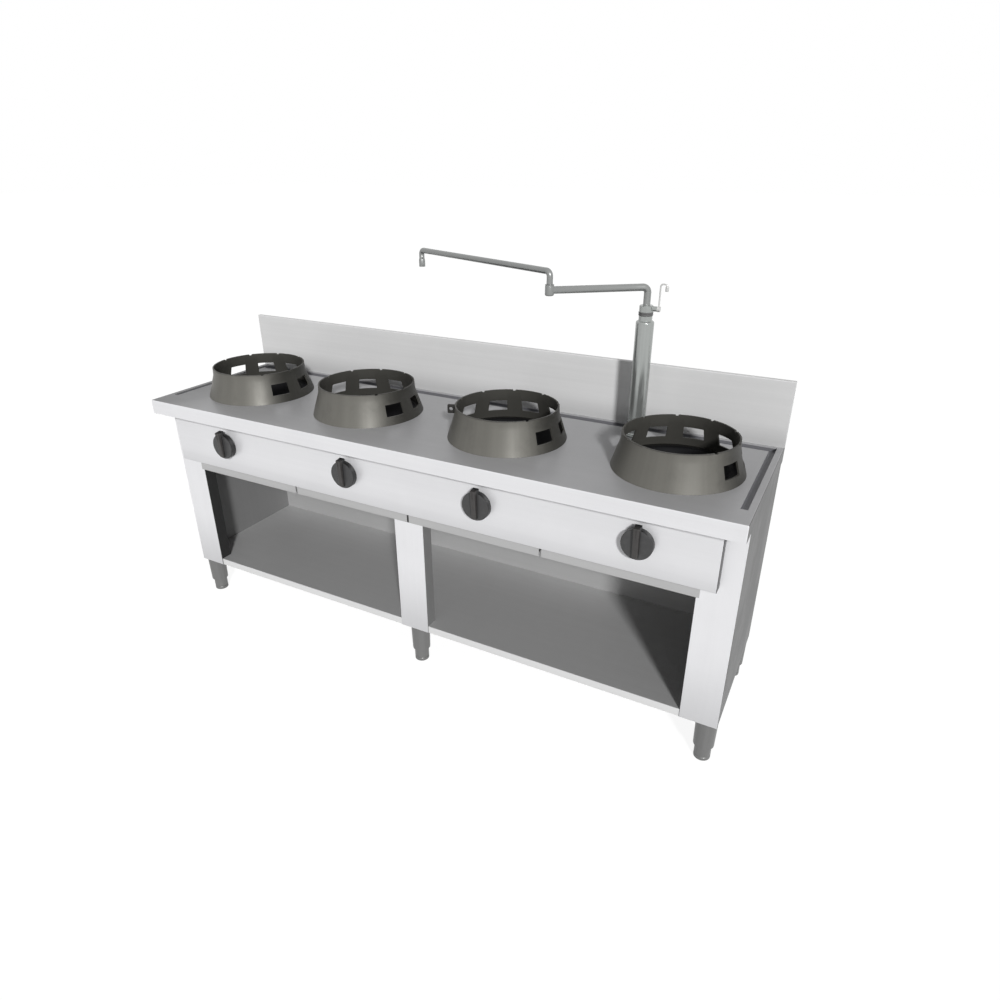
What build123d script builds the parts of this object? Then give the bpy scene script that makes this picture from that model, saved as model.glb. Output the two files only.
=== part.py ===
"""A free-standing gas wok range with four burners, an open base and a swinging water column.

Millimetres. +Z is up, -Y is the front, +X is the right-hand side seen from the front.
The origin is on the floor, under the middle of the worktop.
"""
from build123d import *
import os

os.makedirs("parts", exist_ok=True)

# ---------------------------------------------------------------- driving sizes
LENGTH = 2100.0            # worktop, left to right
DEPTH = 585.0              # worktop, front to back
TOP = 850.0                # worktop height above the floor
SHEET = 2.0                # folded stainless sheet
BEND = 3.0                 # outer radius of a folded edge
APRON = 50.0               # turned-down edge of the worktop
APRON_LIP = 15.0           # lip under the front edge
JOIN_GAP = 0.3             # room between sheets that are screwed together

GUTTER_DEPTH = 12.0        # drain channel pressed into the worktop
GUTTER_SIDE = 19.0         # width of its two side legs
GUTTER_BACK = 40.0         # width of its rear leg
GUTTER_END_INSET = 19.0    # worktop left between a side leg and the end
GUTTER_BACK_GAP = 6.5      # worktop left between the rear leg and the backsplash
GUTTER_FRONT = 86.0        # from the front edge to the closed end of a side leg

SPLASH_HEIGHT = 205.0
SPLASH_DEPTH = 18.0

CARCASS_BOTTOM = 147.0     # underside of the cabinet above the floor
CARCASS_INSET = 2.0        # cabinet end behind the worktop end
SETBACK = 79.0             # worktop front edge to the face of the uprights
SHELF_EDGE = 26.0          # height of the shelf's turned-down edge
SHELF_LIP = 75.0           # lip under the shelf that takes the feet
UPRIGHT_WIDTH = 112.0
UPRIGHT_RETURN = 45.0
SIDE_FLANGE = 13.0         # top flange of a side panel
RAIL_DROP = 38.0           # cross rail under the worktop
RAIL_FLANGE = 30.0

PANEL_SETBACK = 42.5       # worktop front edge to the face of the control panel
PANEL_INSET = 57.0         # worktop end to the end of the control panel
PANEL_HEIGHT = 232.0

# burners, left to right, with the knob that serves each
BURNER_1_X = -775.0
BURNER_2_X = -280.0
BURNER_3_X = 260.0
BURNER_4_X = 802.0
KNOB_1_X = -741.0
KNOB_2_X = -205.0
KNOB_3_X = 287.0
KNOB_4_X = 777.0
BURNER_FROM_FRONT = 274.5
KNOB_DROP = 132.0          # worktop to the knobs' axis

OPENING_R = 150.0          # burner hole in the worktop
BOWL_SHEET = 2.0
BOWL_WALL_GAP = 2.0        # bowl wall inside the hole's edge
BOWL_FLANGE = 14.0
BOWL_MOUTH_R = 70.0
BOWL_DEPTH = 110.0

RING_BASE_R = 188.0
RING_NECK_R = 163.5
RING_TOP_R = 162.0
RING_NECK_Z = 76.0
RING_HEIGHT = 102.0
RING_WALL = 5.0
RING_LIFT_GAP = 0.3        # loose rings stand this far off the worktop
VENT_COUNT = 6
VENT_WIDTH = 62.0
VENT_BOTTOM = 26.0
VENT_HEIGHT = 38.0
VENT_FIRST = -22.5         # angle of the first vent, the front of the ring stays closed
VENT_STEP = 37.5
NOTCH_WIDTH = 8.0
NOTCH_DEPTH = 4.0
LUG_RING = 3
LUG_ANGLE = 203.0
LUG_REACH = 27.0
LUG_THICK = 9.0
LUG_HEIGHT = 28.0
LUG_TOP_DROP = 4.0
LUG_HOLE_R = 6.0

TUBE_DROP = 160.0          # worktop to the axis of the burners' mixing tubes
TUBE_R = 18.0
TUBE_BORE_R = 14.0
TUBE_LENGTH = 94.0
TUBE_BORE_DEPTH = 60.0
RISER_R = 24.0
HEAD_R = 55.0
HEAD_DROP = 90.0           # worktop to the underside of a burner head
HEAD_HEIGHT = 30.0
PORT_R = 3.0
PORT_COUNT = 12
PORT_CIRCLE_R = 40.0
PORT_DEPTH = 8.0
LUG_BAR_RISE = 22.0        # mixing tube axis to the bar of the pilot and the thermocouple
LUG_BAR_HEIGHT = 7.0
LUG_BAR_WIDTH = 14.0
LUG_BAR_REACH = 70.0
PILOT_OFFSET = 62.0
PILOT_R = 4.0
THERMO_R = 3.0
PILOT_RISE = 10.0
PILOT_LENGTH = 86.0
SLIP = 0.1                 # room round a small tube in its hole
BURNER_RAIL = 30.0
BURNER_RAIL_WALL = 3.0
BURNER_RAIL_DROP = 20.0    # mixing tube axis to the top of the burner rails
BURNER_RAIL_OFFSET = 60.0  # rails in front of and behind the burner axis
BURNER_FOOT = 24.0

MANIFOLD_RISE = 50.0       # above the taps' axis
MANIFOLD_SETBACK = 63.5    # behind the face of the uprights
MANIFOLD_R = 13.5
MANIFOLD_WALL = 2.6
MANIFOLD_END_ROOM = 61.0   # closed left end to the side panel
MANIFOLD_SIDE_ROOM = 41.0  # the run to the back, to the side panel
MANIFOLD_BEND = 40.0
BOSS_R = 9.0
BOSS_DROP = 18.0
BRACKET = 4.0              # plates that carry the manifold
BRACKET_FOOT = 34.0
BRACKET_HALF = 22.0
INLET_R = 13.2             # threaded gas inlet
INLET_BORE_R = 9.0
INLET_LENGTH = 25.0
PIPE_ACCESS = 13.0         # free room round a connection in the back panel

TAP_R = 12.0
TAP_SETBACK = 8.5          # behind the face of the uprights
TAP_LENGTH = 60.0
TAP_OUTLET = 40.0          # outlet behind the tap's front end
SPINDLE_R = 5.0
SPINDLE_FIT = 0.05
SPINDLE_SEAT = 20.0
SPINDLE_TIP = 22.0         # past the back of the knob
PANEL_HOLE_R = 8.0
BEZEL_R = 22.0
BEZEL_THICK = 2.0
FEED_R = 4.0
FEED_BEND = 10.0
INJECTOR_R = 7.0
INJECTOR_LENGTH = 12.0
INJECTOR_INSERT = 4.0      # how far the injector reaches into the mixing tube

KNOB_R = 45.0
KNOB_THICK = 19.0
KNOB_EDGE = 2.5
KNOB_GAP = 7.0             # behind the knob, for its push
KNOB_HOLLOW_R = 38.0
KNOB_HOLLOW = 9.0
GRIP_WIDTH = 20.0
GRIP_HEIGHT = 16.0
GRIP_TOP = 58.0            # the grip's pointer end passes the knob's edge
GRIP_ROUND = 3.0
KNOB_BORE = 29.0
POINTER_WIDTH = 3.0
POINTER_DEPTH = 0.8
POINTER_LENGTH = 26.0

TRAY_DROP = 47.0           # underside of the control panel to the underside of the trays
TRAY_FACE = 43.0
TRAY_FACE_LAP = 10.0       # face past the edge of an end upright
TRAY_FACE_GAP = 8.0        # between two faces
TRAY_FACE_CLEAR = 0.5      # face in front of the uprights
TRAY_SHEET = 1.5
TRAY_BACK_ROOM = 26.5
TRAY_LIP = 11.0
TRAY_SIDE_GAP = 1.0
RUNNER_LEDGE = 12.0
RUNNER_RISE = 29.0         # underside of the trays to the runners' ledges
RUNNER_HEIGHT = 16.0
CROSS_HEIGHT = 24.0
CROSS_FLANGE = 20.0
RIDE_GAP = 0.3             # tray lip above its ledge

FOOT_INSET = 34.0          # axis from the cabinet's end and face
SLEEVE_TOP_R = 33.0
SLEEVE_LOW_R = 31.0
SLEEVE_BOTTOM = 50.0
SLEEVE_BORE_R = 26.5
SLEEVE_WEB = 36.0
STUD_R = 6.0
STUD_LENGTH = 14.0
STUD_HOLE_R = 6.5
NUT_ACROSS_R = 11.0
NUT_HEIGHT = 8.0
FOOT_R = 25.0
FOOT_BODY = 60.0
FOOT_CHAMFER = 2.0
SCREW_R = 8.0
SCREW_FIT = 0.05
SCREW_ROOM = 15.0

COLUMN_X = 613.0
COLUMN_BACK = 107.5        # axis to the back edge of the worktop
COLUMN_R = 27.0
COLUMN_HEIGHT = 356.0
COLUMN_BASE_R = 38.0
COLUMN_BASE = 6.0
NECK_R = 20.0
NECK_HEIGHT = 15.0
SWIVEL_R = 14.0
SWIVEL_FIT = 0.05
SWIVEL_DEPTH = 40.0
SEAL_R = 21.5
SEAL_HEIGHT = 11.0
VALVE_R = 20.5
VALVE_HEIGHT = 18.7
STUB_RISE = 9.7            # underside of the valve to the lever's axis
STUB_R = 7.5
STUB_REACH = 33.0
PIN_R = 4.0
PIN_FIT = 0.05
PIN_LENGTH = 16.0
LEVER_HUB_R = 8.0
LEVER_HUB = 8.0
LEVER_ROD_R = 2.5
LEVER_HEIGHT = 71.0
LEVER_HOOK = 19.0
LEVER_DROP = 15.0
LEVER_BEND = 7.0
LEVER_TIP_R = 5.0
SHANK_R = 10.0
SHANK_LENGTH = 30.0
SHANK_HOLE_R = 10.5
SHANK_NUT_R = 17.0

ARM_R = 10.5
ARM_RISE = 51.0            # top of the valve to the lower arm's axis
ARM_BEND = 16.0
ARM_WALL = 1.5
LOWER_REACH_X = 231.0      # column to the elbow
LOWER_REACH_Y = 182.0
SOCKET_R = 13.0
SOCKET_ABOVE = 16.0        # past the lower arm's axis
SOCKET_BELOW = 15.0
SPIGOT_R = 6.0
SPIGOT_FIT = 0.05
SPIGOT_DEPTH = 20.0        # of its hole in the elbow
SPIGOT_LENGTH = 18.0
SPIGOT_BORE_R = 3.5
UPPER_R = 9.0
UPPER_RISE = 35.0          # top of the elbow to the upper arm's axis
UPPER_BEND = 14.0
UPPER_REACH_X = 602.0      # elbow to the spout
UPPER_REACH_Y = 262.0
SPOUT_DROP = 54.0
SPOUT_SLEEVE_R = 10.5
SPOUT_SLEEVE = 40.0

WATER_DROP = 110.0
WATER_R = 7.5
WATER_BEND = 30.0
WATER_STUB_R = 10.3
WATER_STUB = 24.0
WATER_BORE_R = 6.0

DRAIN_X = -345.0
DRAIN_DROP = 78.0
DRAIN_HOLE_R = 17.0
DRAIN_R = 20.0
DRAIN_BEND = 23.0
DRAIN_FLANGE_R = 27.0
DRAIN_FLANGE = 3.0
STRAINER_R = 18.8
STRAINER_CUP_R = 15.0
STRAINER_CUP = 22.0
STRAINER_SHEET = 1.5
STRAINER_HOLE_R = 2.2
STRAINER_RING_R = 9.0
STRAINER_HOLES = 8

# ---------------------------------------------------------------- derived places
END = LENGTH / 2
FRONT = -DEPTH / 2
BACK = DEPTH / 2
UNDER = TOP - SHEET
CAB_END = END - CARCASS_INSET
SIDE_INNER = CAB_END - SHEET
FACE_Y = FRONT + SETBACK
FACE_BACK = FACE_Y + SHEET
RETURN_Y = FACE_Y + UPRIGHT_RETURN
SHELF_TOP = CARCASS_BOTTOM + SHELF_EDGE
BACK_SHEET = BACK - SHEET - SHEET
POST_INNER = CAB_END - UPRIGHT_WIDTH
POST_HALF = UPRIGHT_WIDTH / 2
SPLASH_FRONT = BACK - SPLASH_DEPTH
GUTTER_OUT = END - GUTTER_END_INSET
GUTTER_IN = GUTTER_OUT - GUTTER_SIDE
GUTTER_REAR = SPLASH_FRONT - GUTTER_BACK_GAP
GUTTER_MID = GUTTER_REAR - GUTTER_BACK
GUTTER_START = FRONT + GUTTER_FRONT
GUTTER_FLOOR = TOP - GUTTER_DEPTH
PANEL_Y = FRONT + PANEL_SETBACK
PANEL_END = END - PANEL_INSET
PANEL_BOTTOM = UNDER - PANEL_HEIGHT
BURNER_X = (BURNER_1_X, BURNER_2_X, BURNER_3_X, BURNER_4_X)
BURNER_Y = FRONT + BURNER_FROM_FRONT
KNOB_X = (KNOB_1_X, KNOB_2_X, KNOB_3_X, KNOB_4_X)
KNOB_Z = TOP - KNOB_DROP
KNOB_BACK = PANEL_Y - KNOB_GAP
SPINDLE_TIP_Y = KNOB_BACK - SPINDLE_TIP
TAP_FRONT = FACE_Y + TAP_SETBACK
TAP_OUTLET_Y = TAP_FRONT + TAP_OUTLET
SPINDLE_BACK = TAP_FRONT + SPINDLE_SEAT
MANIFOLD_Z = KNOB_Z + MANIFOLD_RISE
MANIFOLD_Y = FACE_Y + MANIFOLD_SETBACK
MANIFOLD_START_X = MANIFOLD_END_ROOM - SIDE_INNER
MANIFOLD_RUN_X = SIDE_INNER - MANIFOLD_SIDE_ROOM
TUBE_Z = TOP - TUBE_DROP
HEAD_BOTTOM = TOP - HEAD_DROP
LUG_ROOT_R = min(RING_NECK_R, RING_TOP_R) - RING_WALL / 2
LUG_TIP_R = RING_TOP_R - RING_WALL / 2 + LUG_REACH
LUG_BAR_Z = TUBE_Z + LUG_BAR_RISE
PILOT_BOTTOM = TUBE_Z + PILOT_RISE
TRAY_BOTTOM = PANEL_BOTTOM - TRAY_DROP
RUNNER_Z = TRAY_BOTTOM + RUNNER_RISE
RUNNER_TOP = RUNNER_Z + RUNNER_HEIGHT
TRAY_BACK_Y = BACK_SHEET - TRAY_BACK_ROOM
TRAY_LIP_Z = RUNNER_Z + SHEET + RIDE_GAP
TRAY_WALL_TOP = TRAY_LIP_Z + TRAY_SHEET
SCREW_TOP = CARCASS_BOTTOM - SCREW_ROOM
COLUMN_Y = BACK - COLUMN_BACK
COLUMN_TOP = TOP + COLUMN_HEIGHT
NECK_TOP = COLUMN_TOP + NECK_HEIGHT
VALVE_BOTTOM = NECK_TOP + RIDE_GAP + SEAL_HEIGHT
VALVE_TOP = VALVE_BOTTOM + VALVE_HEIGHT
STUB_Z = VALVE_BOTTOM + STUB_RISE
STUB_END = COLUMN_X + STUB_REACH
LEVER_X = STUB_END + RIDE_GAP + LEVER_HUB / 2
LEVER_TOP = STUB_Z + LEVER_HEIGHT
ARM_Z = VALVE_TOP + ARM_RISE
ELBOW_X = COLUMN_X - LOWER_REACH_X
ELBOW_Y = COLUMN_Y - LOWER_REACH_Y
SOCKET_TOP = ARM_Z + SOCKET_ABOVE
SOCKET_BOTTOM = ARM_Z - SOCKET_BELOW
UPPER_Z = SOCKET_TOP + UPPER_RISE
SPOUT_X = ELBOW_X - UPPER_REACH_X
SPOUT_Y = ELBOW_Y + UPPER_REACH_Y
SPOUT_END = UPPER_Z - SPOUT_DROP
WATER_Z = TOP - WATER_DROP
DRAIN_Y = (GUTTER_MID + GUTTER_REAR) / 2
DRAIN_Z = TOP - DRAIN_DROP
DRAIN_TOP = GUTTER_FLOOR - SHEET
STRAINER_Z = GUTTER_FLOOR + RIDE_GAP
PANEL_BACK = FACE_Y - JOIN_GAP
BAY_MIDDLE = (POST_INNER + TRAY_FACE_LAP) / 2
FOOT_X = (-(CAB_END - FOOT_INSET), 0.0, CAB_END - FOOT_INSET)
FOOT_Y = (FACE_Y + FOOT_INSET, BACK - FOOT_INSET)
RAIL_Z = TUBE_Z - BURNER_RAIL_DROP
BRACKET_X = POST_INNER + SHEET + BRACKET_FOOT / 2

UPWARD = (0, 0, 0)
BACKWARD = (-90, 0, 0)
RIGHTWARD = (0, 90, 0)
FROM_BASE = (Align.CENTER, Align.CENTER, Align.MIN)


def slab(x, y, z, mode=Mode.ADD):
    """A block between two limits on each axis."""
    with Locations(((x[0] + x[1]) / 2, (y[0] + y[1]) / 2, (z[0] + z[1]) / 2)):
        Box(abs(x[1] - x[0]), abs(y[1] - y[0]), abs(z[1] - z[0]), mode=mode)


def rod(start, radius, length, turn=UPWARD, mode=Mode.ADD):
    """A round bar from its start point, upwards unless it is turned."""
    with Locations(Location(start, turn)):
        Cylinder(radius, length, align=FROM_BASE, mode=mode)


def pipe(corners, radius, bend, mode=Mode.ADD):
    """A round bar along straight runs that are joined by bends of one radius."""
    with BuildLine() as route:
        FilletPolyline(*corners, radius=bend)
    with BuildSketch(Plane(origin=route.line @ 0, z_dir=route.line % 0)) as section:
        Circle(radius)
    sweep(section.sketch, path=route.line, mode=mode)


def profile_plane(x, y, z=0.0):
    """A plane through a vertical axis, its own x to the right and its own y upwards."""
    return Plane(origin=(x, y, z), x_dir=(1, 0, 0), z_dir=(0, -1, 0))


def finish(piece, name):
    """Label one piece and write it."""
    piece.part.label = name
    export_step(piece.part, "parts/" + name + ".step")


# ---------------------------------------------------------------- worktop and backsplash
with BuildPart() as worktop:
    slab((-END, END), (FRONT, BACK), (UNDER, TOP))
    slab((-END, END), (FRONT, FRONT + SHEET), (TOP - APRON, TOP))
    slab((-END, END), (FRONT, FRONT + APRON_LIP), (TOP - APRON, TOP - APRON + SHEET))
    slab((-END, END), (BACK - SHEET, BACK), (TOP - APRON, TOP))
    for side in (-1, 1):
        slab((side * (END - SHEET), side * END), (FRONT, BACK), (TOP - APRON, TOP))
        slab((side * (GUTTER_IN - SHEET), side * (GUTTER_OUT + SHEET)),
             (GUTTER_START - SHEET, GUTTER_REAR + SHEET), (GUTTER_FLOOR - SHEET, TOP))
    slab((-GUTTER_OUT, GUTTER_OUT), (GUTTER_MID - SHEET, GUTTER_REAR + SHEET),
         (GUTTER_FLOOR - SHEET, TOP))
    for side in (-1, 1):
        slab((side * GUTTER_IN, side * GUTTER_OUT), (GUTTER_START, GUTTER_REAR),
             (GUTTER_FLOOR, TOP), Mode.SUBTRACT)
    slab((-GUTTER_OUT, GUTTER_OUT), (GUTTER_MID, GUTTER_REAR), (GUTTER_FLOOR, TOP), Mode.SUBTRACT)
    outer = worktop.edges().filter_by(Axis.X).group_by(Axis.Y)[0].sort_by(Axis.Z)[-1:]
    outer += worktop.edges().filter_by(Axis.Y).group_by(Axis.X)[0].sort_by(Axis.Z)[-1:]
    outer += worktop.edges().filter_by(Axis.Y).group_by(Axis.X)[-1].sort_by(Axis.Z)[-1:]
    outer += worktop.edges().filter_by(Axis.Z).group_by(Axis.Y)[0].filter_by(
        lambda edge: abs(abs(edge.center().X) - END) < SHEET / 2)
    fillet(outer, BEND)
    for x in BURNER_X:
        rod((x, BURNER_Y, UNDER - SHEET), OPENING_R, 3 * SHEET, mode=Mode.SUBTRACT)
    rod((COLUMN_X, COLUMN_Y, UNDER - SHEET), SHANK_HOLE_R, 3 * SHEET, mode=Mode.SUBTRACT)
    rod((DRAIN_X, DRAIN_Y, GUTTER_FLOOR - 2 * SHEET), DRAIN_HOLE_R,
        3 * SHEET, mode=Mode.SUBTRACT)
finish(worktop, "worktop")

with BuildPart() as backsplash:
    slab((-END, END), (SPLASH_FRONT, BACK), (TOP, TOP + SPLASH_HEIGHT))
    rim = backsplash.edges().filter_by(Axis.X).group_by(Axis.Z)[-1]
    fillet(rim, BEND)
    slab((-END + SHEET, END - SHEET), (SPLASH_FRONT + SHEET, BACK - SHEET),
         (TOP, TOP + SPLASH_HEIGHT - SHEET), Mode.SUBTRACT)
finish(backsplash, "backsplash")

# ---------------------------------------------------------------- cabinet
for side, name in ((-1, "left_side_panel"), (1, "right_side_panel")):
    with BuildPart() as side_panel:
        slab((side * SIDE_INNER, side * CAB_END), (FACE_BACK, BACK_SHEET + SHEET),
             (CARCASS_BOTTOM, UNDER))
        slab((side * (CAB_END - SIDE_FLANGE), side * CAB_END), (FACE_BACK, BACK_SHEET),
             (UNDER - SHEET, UNDER))
    finish(side_panel, name)

with BuildPart() as back_panel:
    slab((-SIDE_INNER, SIDE_INNER), (BACK_SHEET, BACK_SHEET + SHEET), (CARCASS_BOTTOM, UNDER))
    for x, z, radius in ((MANIFOLD_RUN_X, MANIFOLD_Z, INLET_R), (COLUMN_X, WATER_Z, WATER_STUB_R),
                         (DRAIN_X, DRAIN_Z, DRAIN_R)):
        rod((x, BACK_SHEET - SHEET, z), radius + PIPE_ACCESS, 3 * SHEET, BACKWARD, Mode.SUBTRACT)
finish(back_panel, "back_panel")

with BuildPart() as bottom_shelf:
    slab((-SIDE_INNER, SIDE_INNER), (FACE_BACK, BACK_SHEET), (SHELF_TOP - SHEET, SHELF_TOP))
    for edge_y, lip_y in ((FACE_BACK, FACE_BACK + SHEET), (BACK_SHEET, BACK_SHEET - SHEET)):
        slab((-SIDE_INNER, SIDE_INNER), (edge_y, lip_y), (CARCASS_BOTTOM, SHELF_TOP))
    slab((-SIDE_INNER, SIDE_INNER), (FACE_BACK, FACE_BACK + SHELF_LIP),
         (CARCASS_BOTTOM, CARCASS_BOTTOM + SHEET))
    slab((-SIDE_INNER, SIDE_INNER), (BACK_SHEET - SHELF_LIP, BACK_SHEET),
         (CARCASS_BOTTOM, CARCASS_BOTTOM + SHEET))
    for x in FOOT_X:
        for y in FOOT_Y:
            rod((x, y, CARCASS_BOTTOM - SHEET), STUD_HOLE_R, 3 * SHEET, mode=Mode.SUBTRACT)
finish(bottom_shelf, "bottom_shelf")

for centre, name in ((-(CAB_END - POST_HALF), "left_upright"), (0.0, "centre_upright"),
                     (CAB_END - POST_HALF, "right_upright")):
    low, high = centre - POST_HALF, centre + POST_HALF
    low_return = max(low, -SIDE_INNER)
    high_return = min(high, SIDE_INNER)
    with BuildPart() as upright:
        slab((low, high), (FACE_Y, FACE_BACK), (CARCASS_BOTTOM, UNDER))
        slab((low_return, low_return + SHEET), (FACE_Y, RETURN_Y), (SHELF_TOP, UNDER - SHEET))
        slab((high_return - SHEET, high_return), (FACE_Y, RETURN_Y), (SHELF_TOP, UNDER - SHEET))
    finish(upright, name)

with BuildPart() as worktop_rails:
    for side in (-1, 1):
        slab((side * POST_HALF, side * POST_INNER), (FACE_BACK, FACE_BACK + SHEET),
             (UNDER - RAIL_DROP, UNDER))
        slab((side * POST_HALF, side * POST_INNER), (FACE_BACK, FACE_BACK + RAIL_FLANGE),
             (UNDER - SHEET, UNDER))
finish(worktop_rails, "worktop_rails")

with BuildPart() as control_panel:
    slab((-PANEL_END, PANEL_END), (PANEL_Y, PANEL_BACK), (PANEL_BOTTOM, UNDER))
    face_edges = control_panel.edges().group_by(Axis.Y)[0]
    fillet(face_edges.filter_by(Axis.Z) + face_edges.filter_by(Axis.X).sort_by(Axis.Z)[:1], BEND)
    slab((-PANEL_END + SHEET, PANEL_END - SHEET), (PANEL_Y + SHEET, PANEL_BACK),
         (PANEL_BOTTOM + SHEET, UNDER - SHEET), Mode.SUBTRACT)
    for x in KNOB_X:
        rod((x, PANEL_Y - SHEET, KNOB_Z), PANEL_HOLE_R, 3 * SHEET, BACKWARD, Mode.SUBTRACT)
finish(control_panel, "control_panel")

# ---------------------------------------------------------------- feet
with BuildPart() as foot_sleeves:
    for x in FOOT_X:
        for y in FOOT_Y:
            with Locations((x, y, SLEEVE_BOTTOM)):
                Cone(SLEEVE_LOW_R, SLEEVE_TOP_R, CARCASS_BOTTOM - SLEEVE_BOTTOM, align=FROM_BASE)
            rod((x, y, CARCASS_BOTTOM), STUD_R, STUD_LENGTH)
            rod((x, y, SLEEVE_BOTTOM), SLEEVE_BORE_R,
                CARCASS_BOTTOM - SLEEVE_BOTTOM - SLEEVE_WEB, mode=Mode.SUBTRACT)
            rod((x, y, SLEEVE_BOTTOM), SCREW_R + SCREW_FIT,
                SCREW_TOP + SHEET - SLEEVE_BOTTOM, mode=Mode.SUBTRACT)
finish(foot_sleeves, "foot_sleeves")

foot_number = 0
for y in FOOT_Y:
    for x in FOOT_X:
        foot_number += 1
        with BuildPart() as foot:
            rod((x, y, 0.0), FOOT_R, FOOT_BODY)
            chamfer(foot.edges().group_by(Axis.Z)[0], FOOT_CHAMFER)
            rod((x, y, FOOT_BODY), SCREW_R, SCREW_TOP - FOOT_BODY)
        finish(foot, "foot_" + str(foot_number))

with BuildPart() as nuts:
    for x in FOOT_X:
        for y in FOOT_Y:
            with BuildSketch(Plane.XY.offset(CARCASS_BOTTOM + SHEET)):
                with Locations((x, y)):
                    RegularPolygon(NUT_ACROSS_R, 6)
                    Circle(STUD_R + SLIP, mode=Mode.SUBTRACT)
            extrude(amount=NUT_HEIGHT)
    with BuildSketch(Plane.XY.offset(UNDER - NUT_HEIGHT)):
        with Locations((COLUMN_X, COLUMN_Y)):
            RegularPolygon(SHANK_NUT_R, 6)
            Circle(SHANK_R + SLIP, mode=Mode.SUBTRACT)
    extrude(amount=NUT_HEIGHT)
finish(nuts, "nuts")

# ---------------------------------------------------------------- drip trays and their runners
with BuildPart() as tray_cross_rails:
    for side in (-1, 1):
        for y, toward in ((FACE_BACK, 1), (BACK_SHEET, -1)):
            slab((side * POST_HALF, side * POST_INNER), (y, y + toward * SHEET),
                 (RUNNER_TOP, RUNNER_TOP + CROSS_HEIGHT))
            slab((side * POST_HALF, side * POST_INNER), (y, y + toward * CROSS_FLANGE),
                 (RUNNER_TOP, RUNNER_TOP + SHEET))
finish(tray_cross_rails, "tray_cross_rails")

with BuildPart() as tray_runners:
    for side in (-1, 1):
        for web, ledge in ((POST_INNER, (POST_INNER - SHEET - RUNNER_LEDGE, POST_INNER)),
                           (BAY_MIDDLE + SHEET / 2, (BAY_MIDDLE - SHEET / 2 - RUNNER_LEDGE,
                                                     BAY_MIDDLE + SHEET / 2 + RUNNER_LEDGE)),
                           (POST_HALF + SHEET, (POST_HALF, POST_HALF + SHEET + RUNNER_LEDGE))):
            slab((side * (web - SHEET), side * web), (FACE_BACK, BACK_SHEET), (RUNNER_Z, RUNNER_TOP))
            slab((side * ledge[0], side * ledge[1]), (FACE_BACK, BACK_SHEET),
                 (RUNNER_Z, RUNNER_Z + SHEET))
finish(tray_runners, "tray_runners")

END_TRAY = ((BAY_MIDDLE + TRAY_FACE_GAP / 2, POST_INNER + TRAY_FACE_LAP),
            (BAY_MIDDLE + SHEET / 2 + RUNNER_LEDGE + TRAY_SIDE_GAP,
             POST_INNER - SHEET - RUNNER_LEDGE - TRAY_SIDE_GAP))
MIDDLE_TRAY = ((TRAY_FACE_GAP / 2, BAY_MIDDLE - TRAY_FACE_GAP / 2),
               (POST_HALF + SHEET + RUNNER_LEDGE + TRAY_SIDE_GAP,
                BAY_MIDDLE - SHEET / 2 - RUNNER_LEDGE - TRAY_SIDE_GAP))
TRAY_FACE_BACK = FACE_Y - TRAY_FACE_CLEAR

for number, side, (face, pan) in ((1, -1, END_TRAY), (2, -1, MIDDLE_TRAY),
                                  (3, 1, MIDDLE_TRAY), (4, 1, END_TRAY)):
    with BuildPart() as drip_tray:
        slab((side * face[0], side * face[1]), (TRAY_FACE_BACK - SHEET, TRAY_FACE_BACK),
             (TRAY_BOTTOM, TRAY_BOTTOM + TRAY_FACE))
        slab((side * pan[0], side * pan[1]), (TRAY_FACE_BACK, TRAY_BACK_Y),
             (TRAY_BOTTOM, TRAY_WALL_TOP))
        slab((side * (pan[0] - TRAY_LIP), side * (pan[1] + TRAY_LIP)),
             (FACE_BACK + SHEET, TRAY_BACK_Y), (TRAY_LIP_Z, TRAY_WALL_TOP))
        slab((side * (pan[0] + TRAY_SHEET), side * (pan[1] - TRAY_SHEET)),
             (TRAY_FACE_BACK, TRAY_BACK_Y - TRAY_SHEET),
             (TRAY_BOTTOM + TRAY_SHEET, TRAY_WALL_TOP + SHEET), Mode.SUBTRACT)
    finish(drip_tray, "drip_tray_" + str(number))

# ---------------------------------------------------------------- burners
with BuildPart() as burner_rails:
    for offset, toward in ((-BURNER_RAIL_OFFSET, -1), (BURNER_RAIL_OFFSET, 1)):
        y = BURNER_Y + offset
        slab((-SIDE_INNER, SIDE_INNER), (y - toward * BURNER_RAIL / 2, y + toward * BURNER_RAIL / 2),
             (RAIL_Z - BURNER_RAIL_WALL, RAIL_Z))
        edge = y + toward * BURNER_RAIL / 2
        slab((-SIDE_INNER, SIDE_INNER), (edge - toward * BURNER_RAIL_WALL, edge),
             (RAIL_Z - BURNER_RAIL, RAIL_Z))
finish(burner_rails, "burner_rails")

BOWL_TOP_R = OPENING_R - BOWL_WALL_GAP
with BuildPart() as burner_bowls:
    for x in BURNER_X:
        with BuildSketch(profile_plane(x, BURNER_Y)):
            with BuildLine():
                Polyline((BOWL_MOUTH_R, TOP - BOWL_DEPTH),
                         (BOWL_TOP_R, TOP),
                         (OPENING_R + BOWL_FLANGE, TOP),
                         (OPENING_R + BOWL_FLANGE, TOP + BOWL_SHEET),
                         (BOWL_TOP_R - BOWL_SHEET, TOP + BOWL_SHEET),
                         (BOWL_MOUTH_R - BOWL_SHEET, TOP - BOWL_DEPTH),
                         close=True)
            make_face()
        revolve(axis=Axis((x, BURNER_Y, 0), (0, 0, 1)))
finish(burner_bowls, "burner_bowls")

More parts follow.
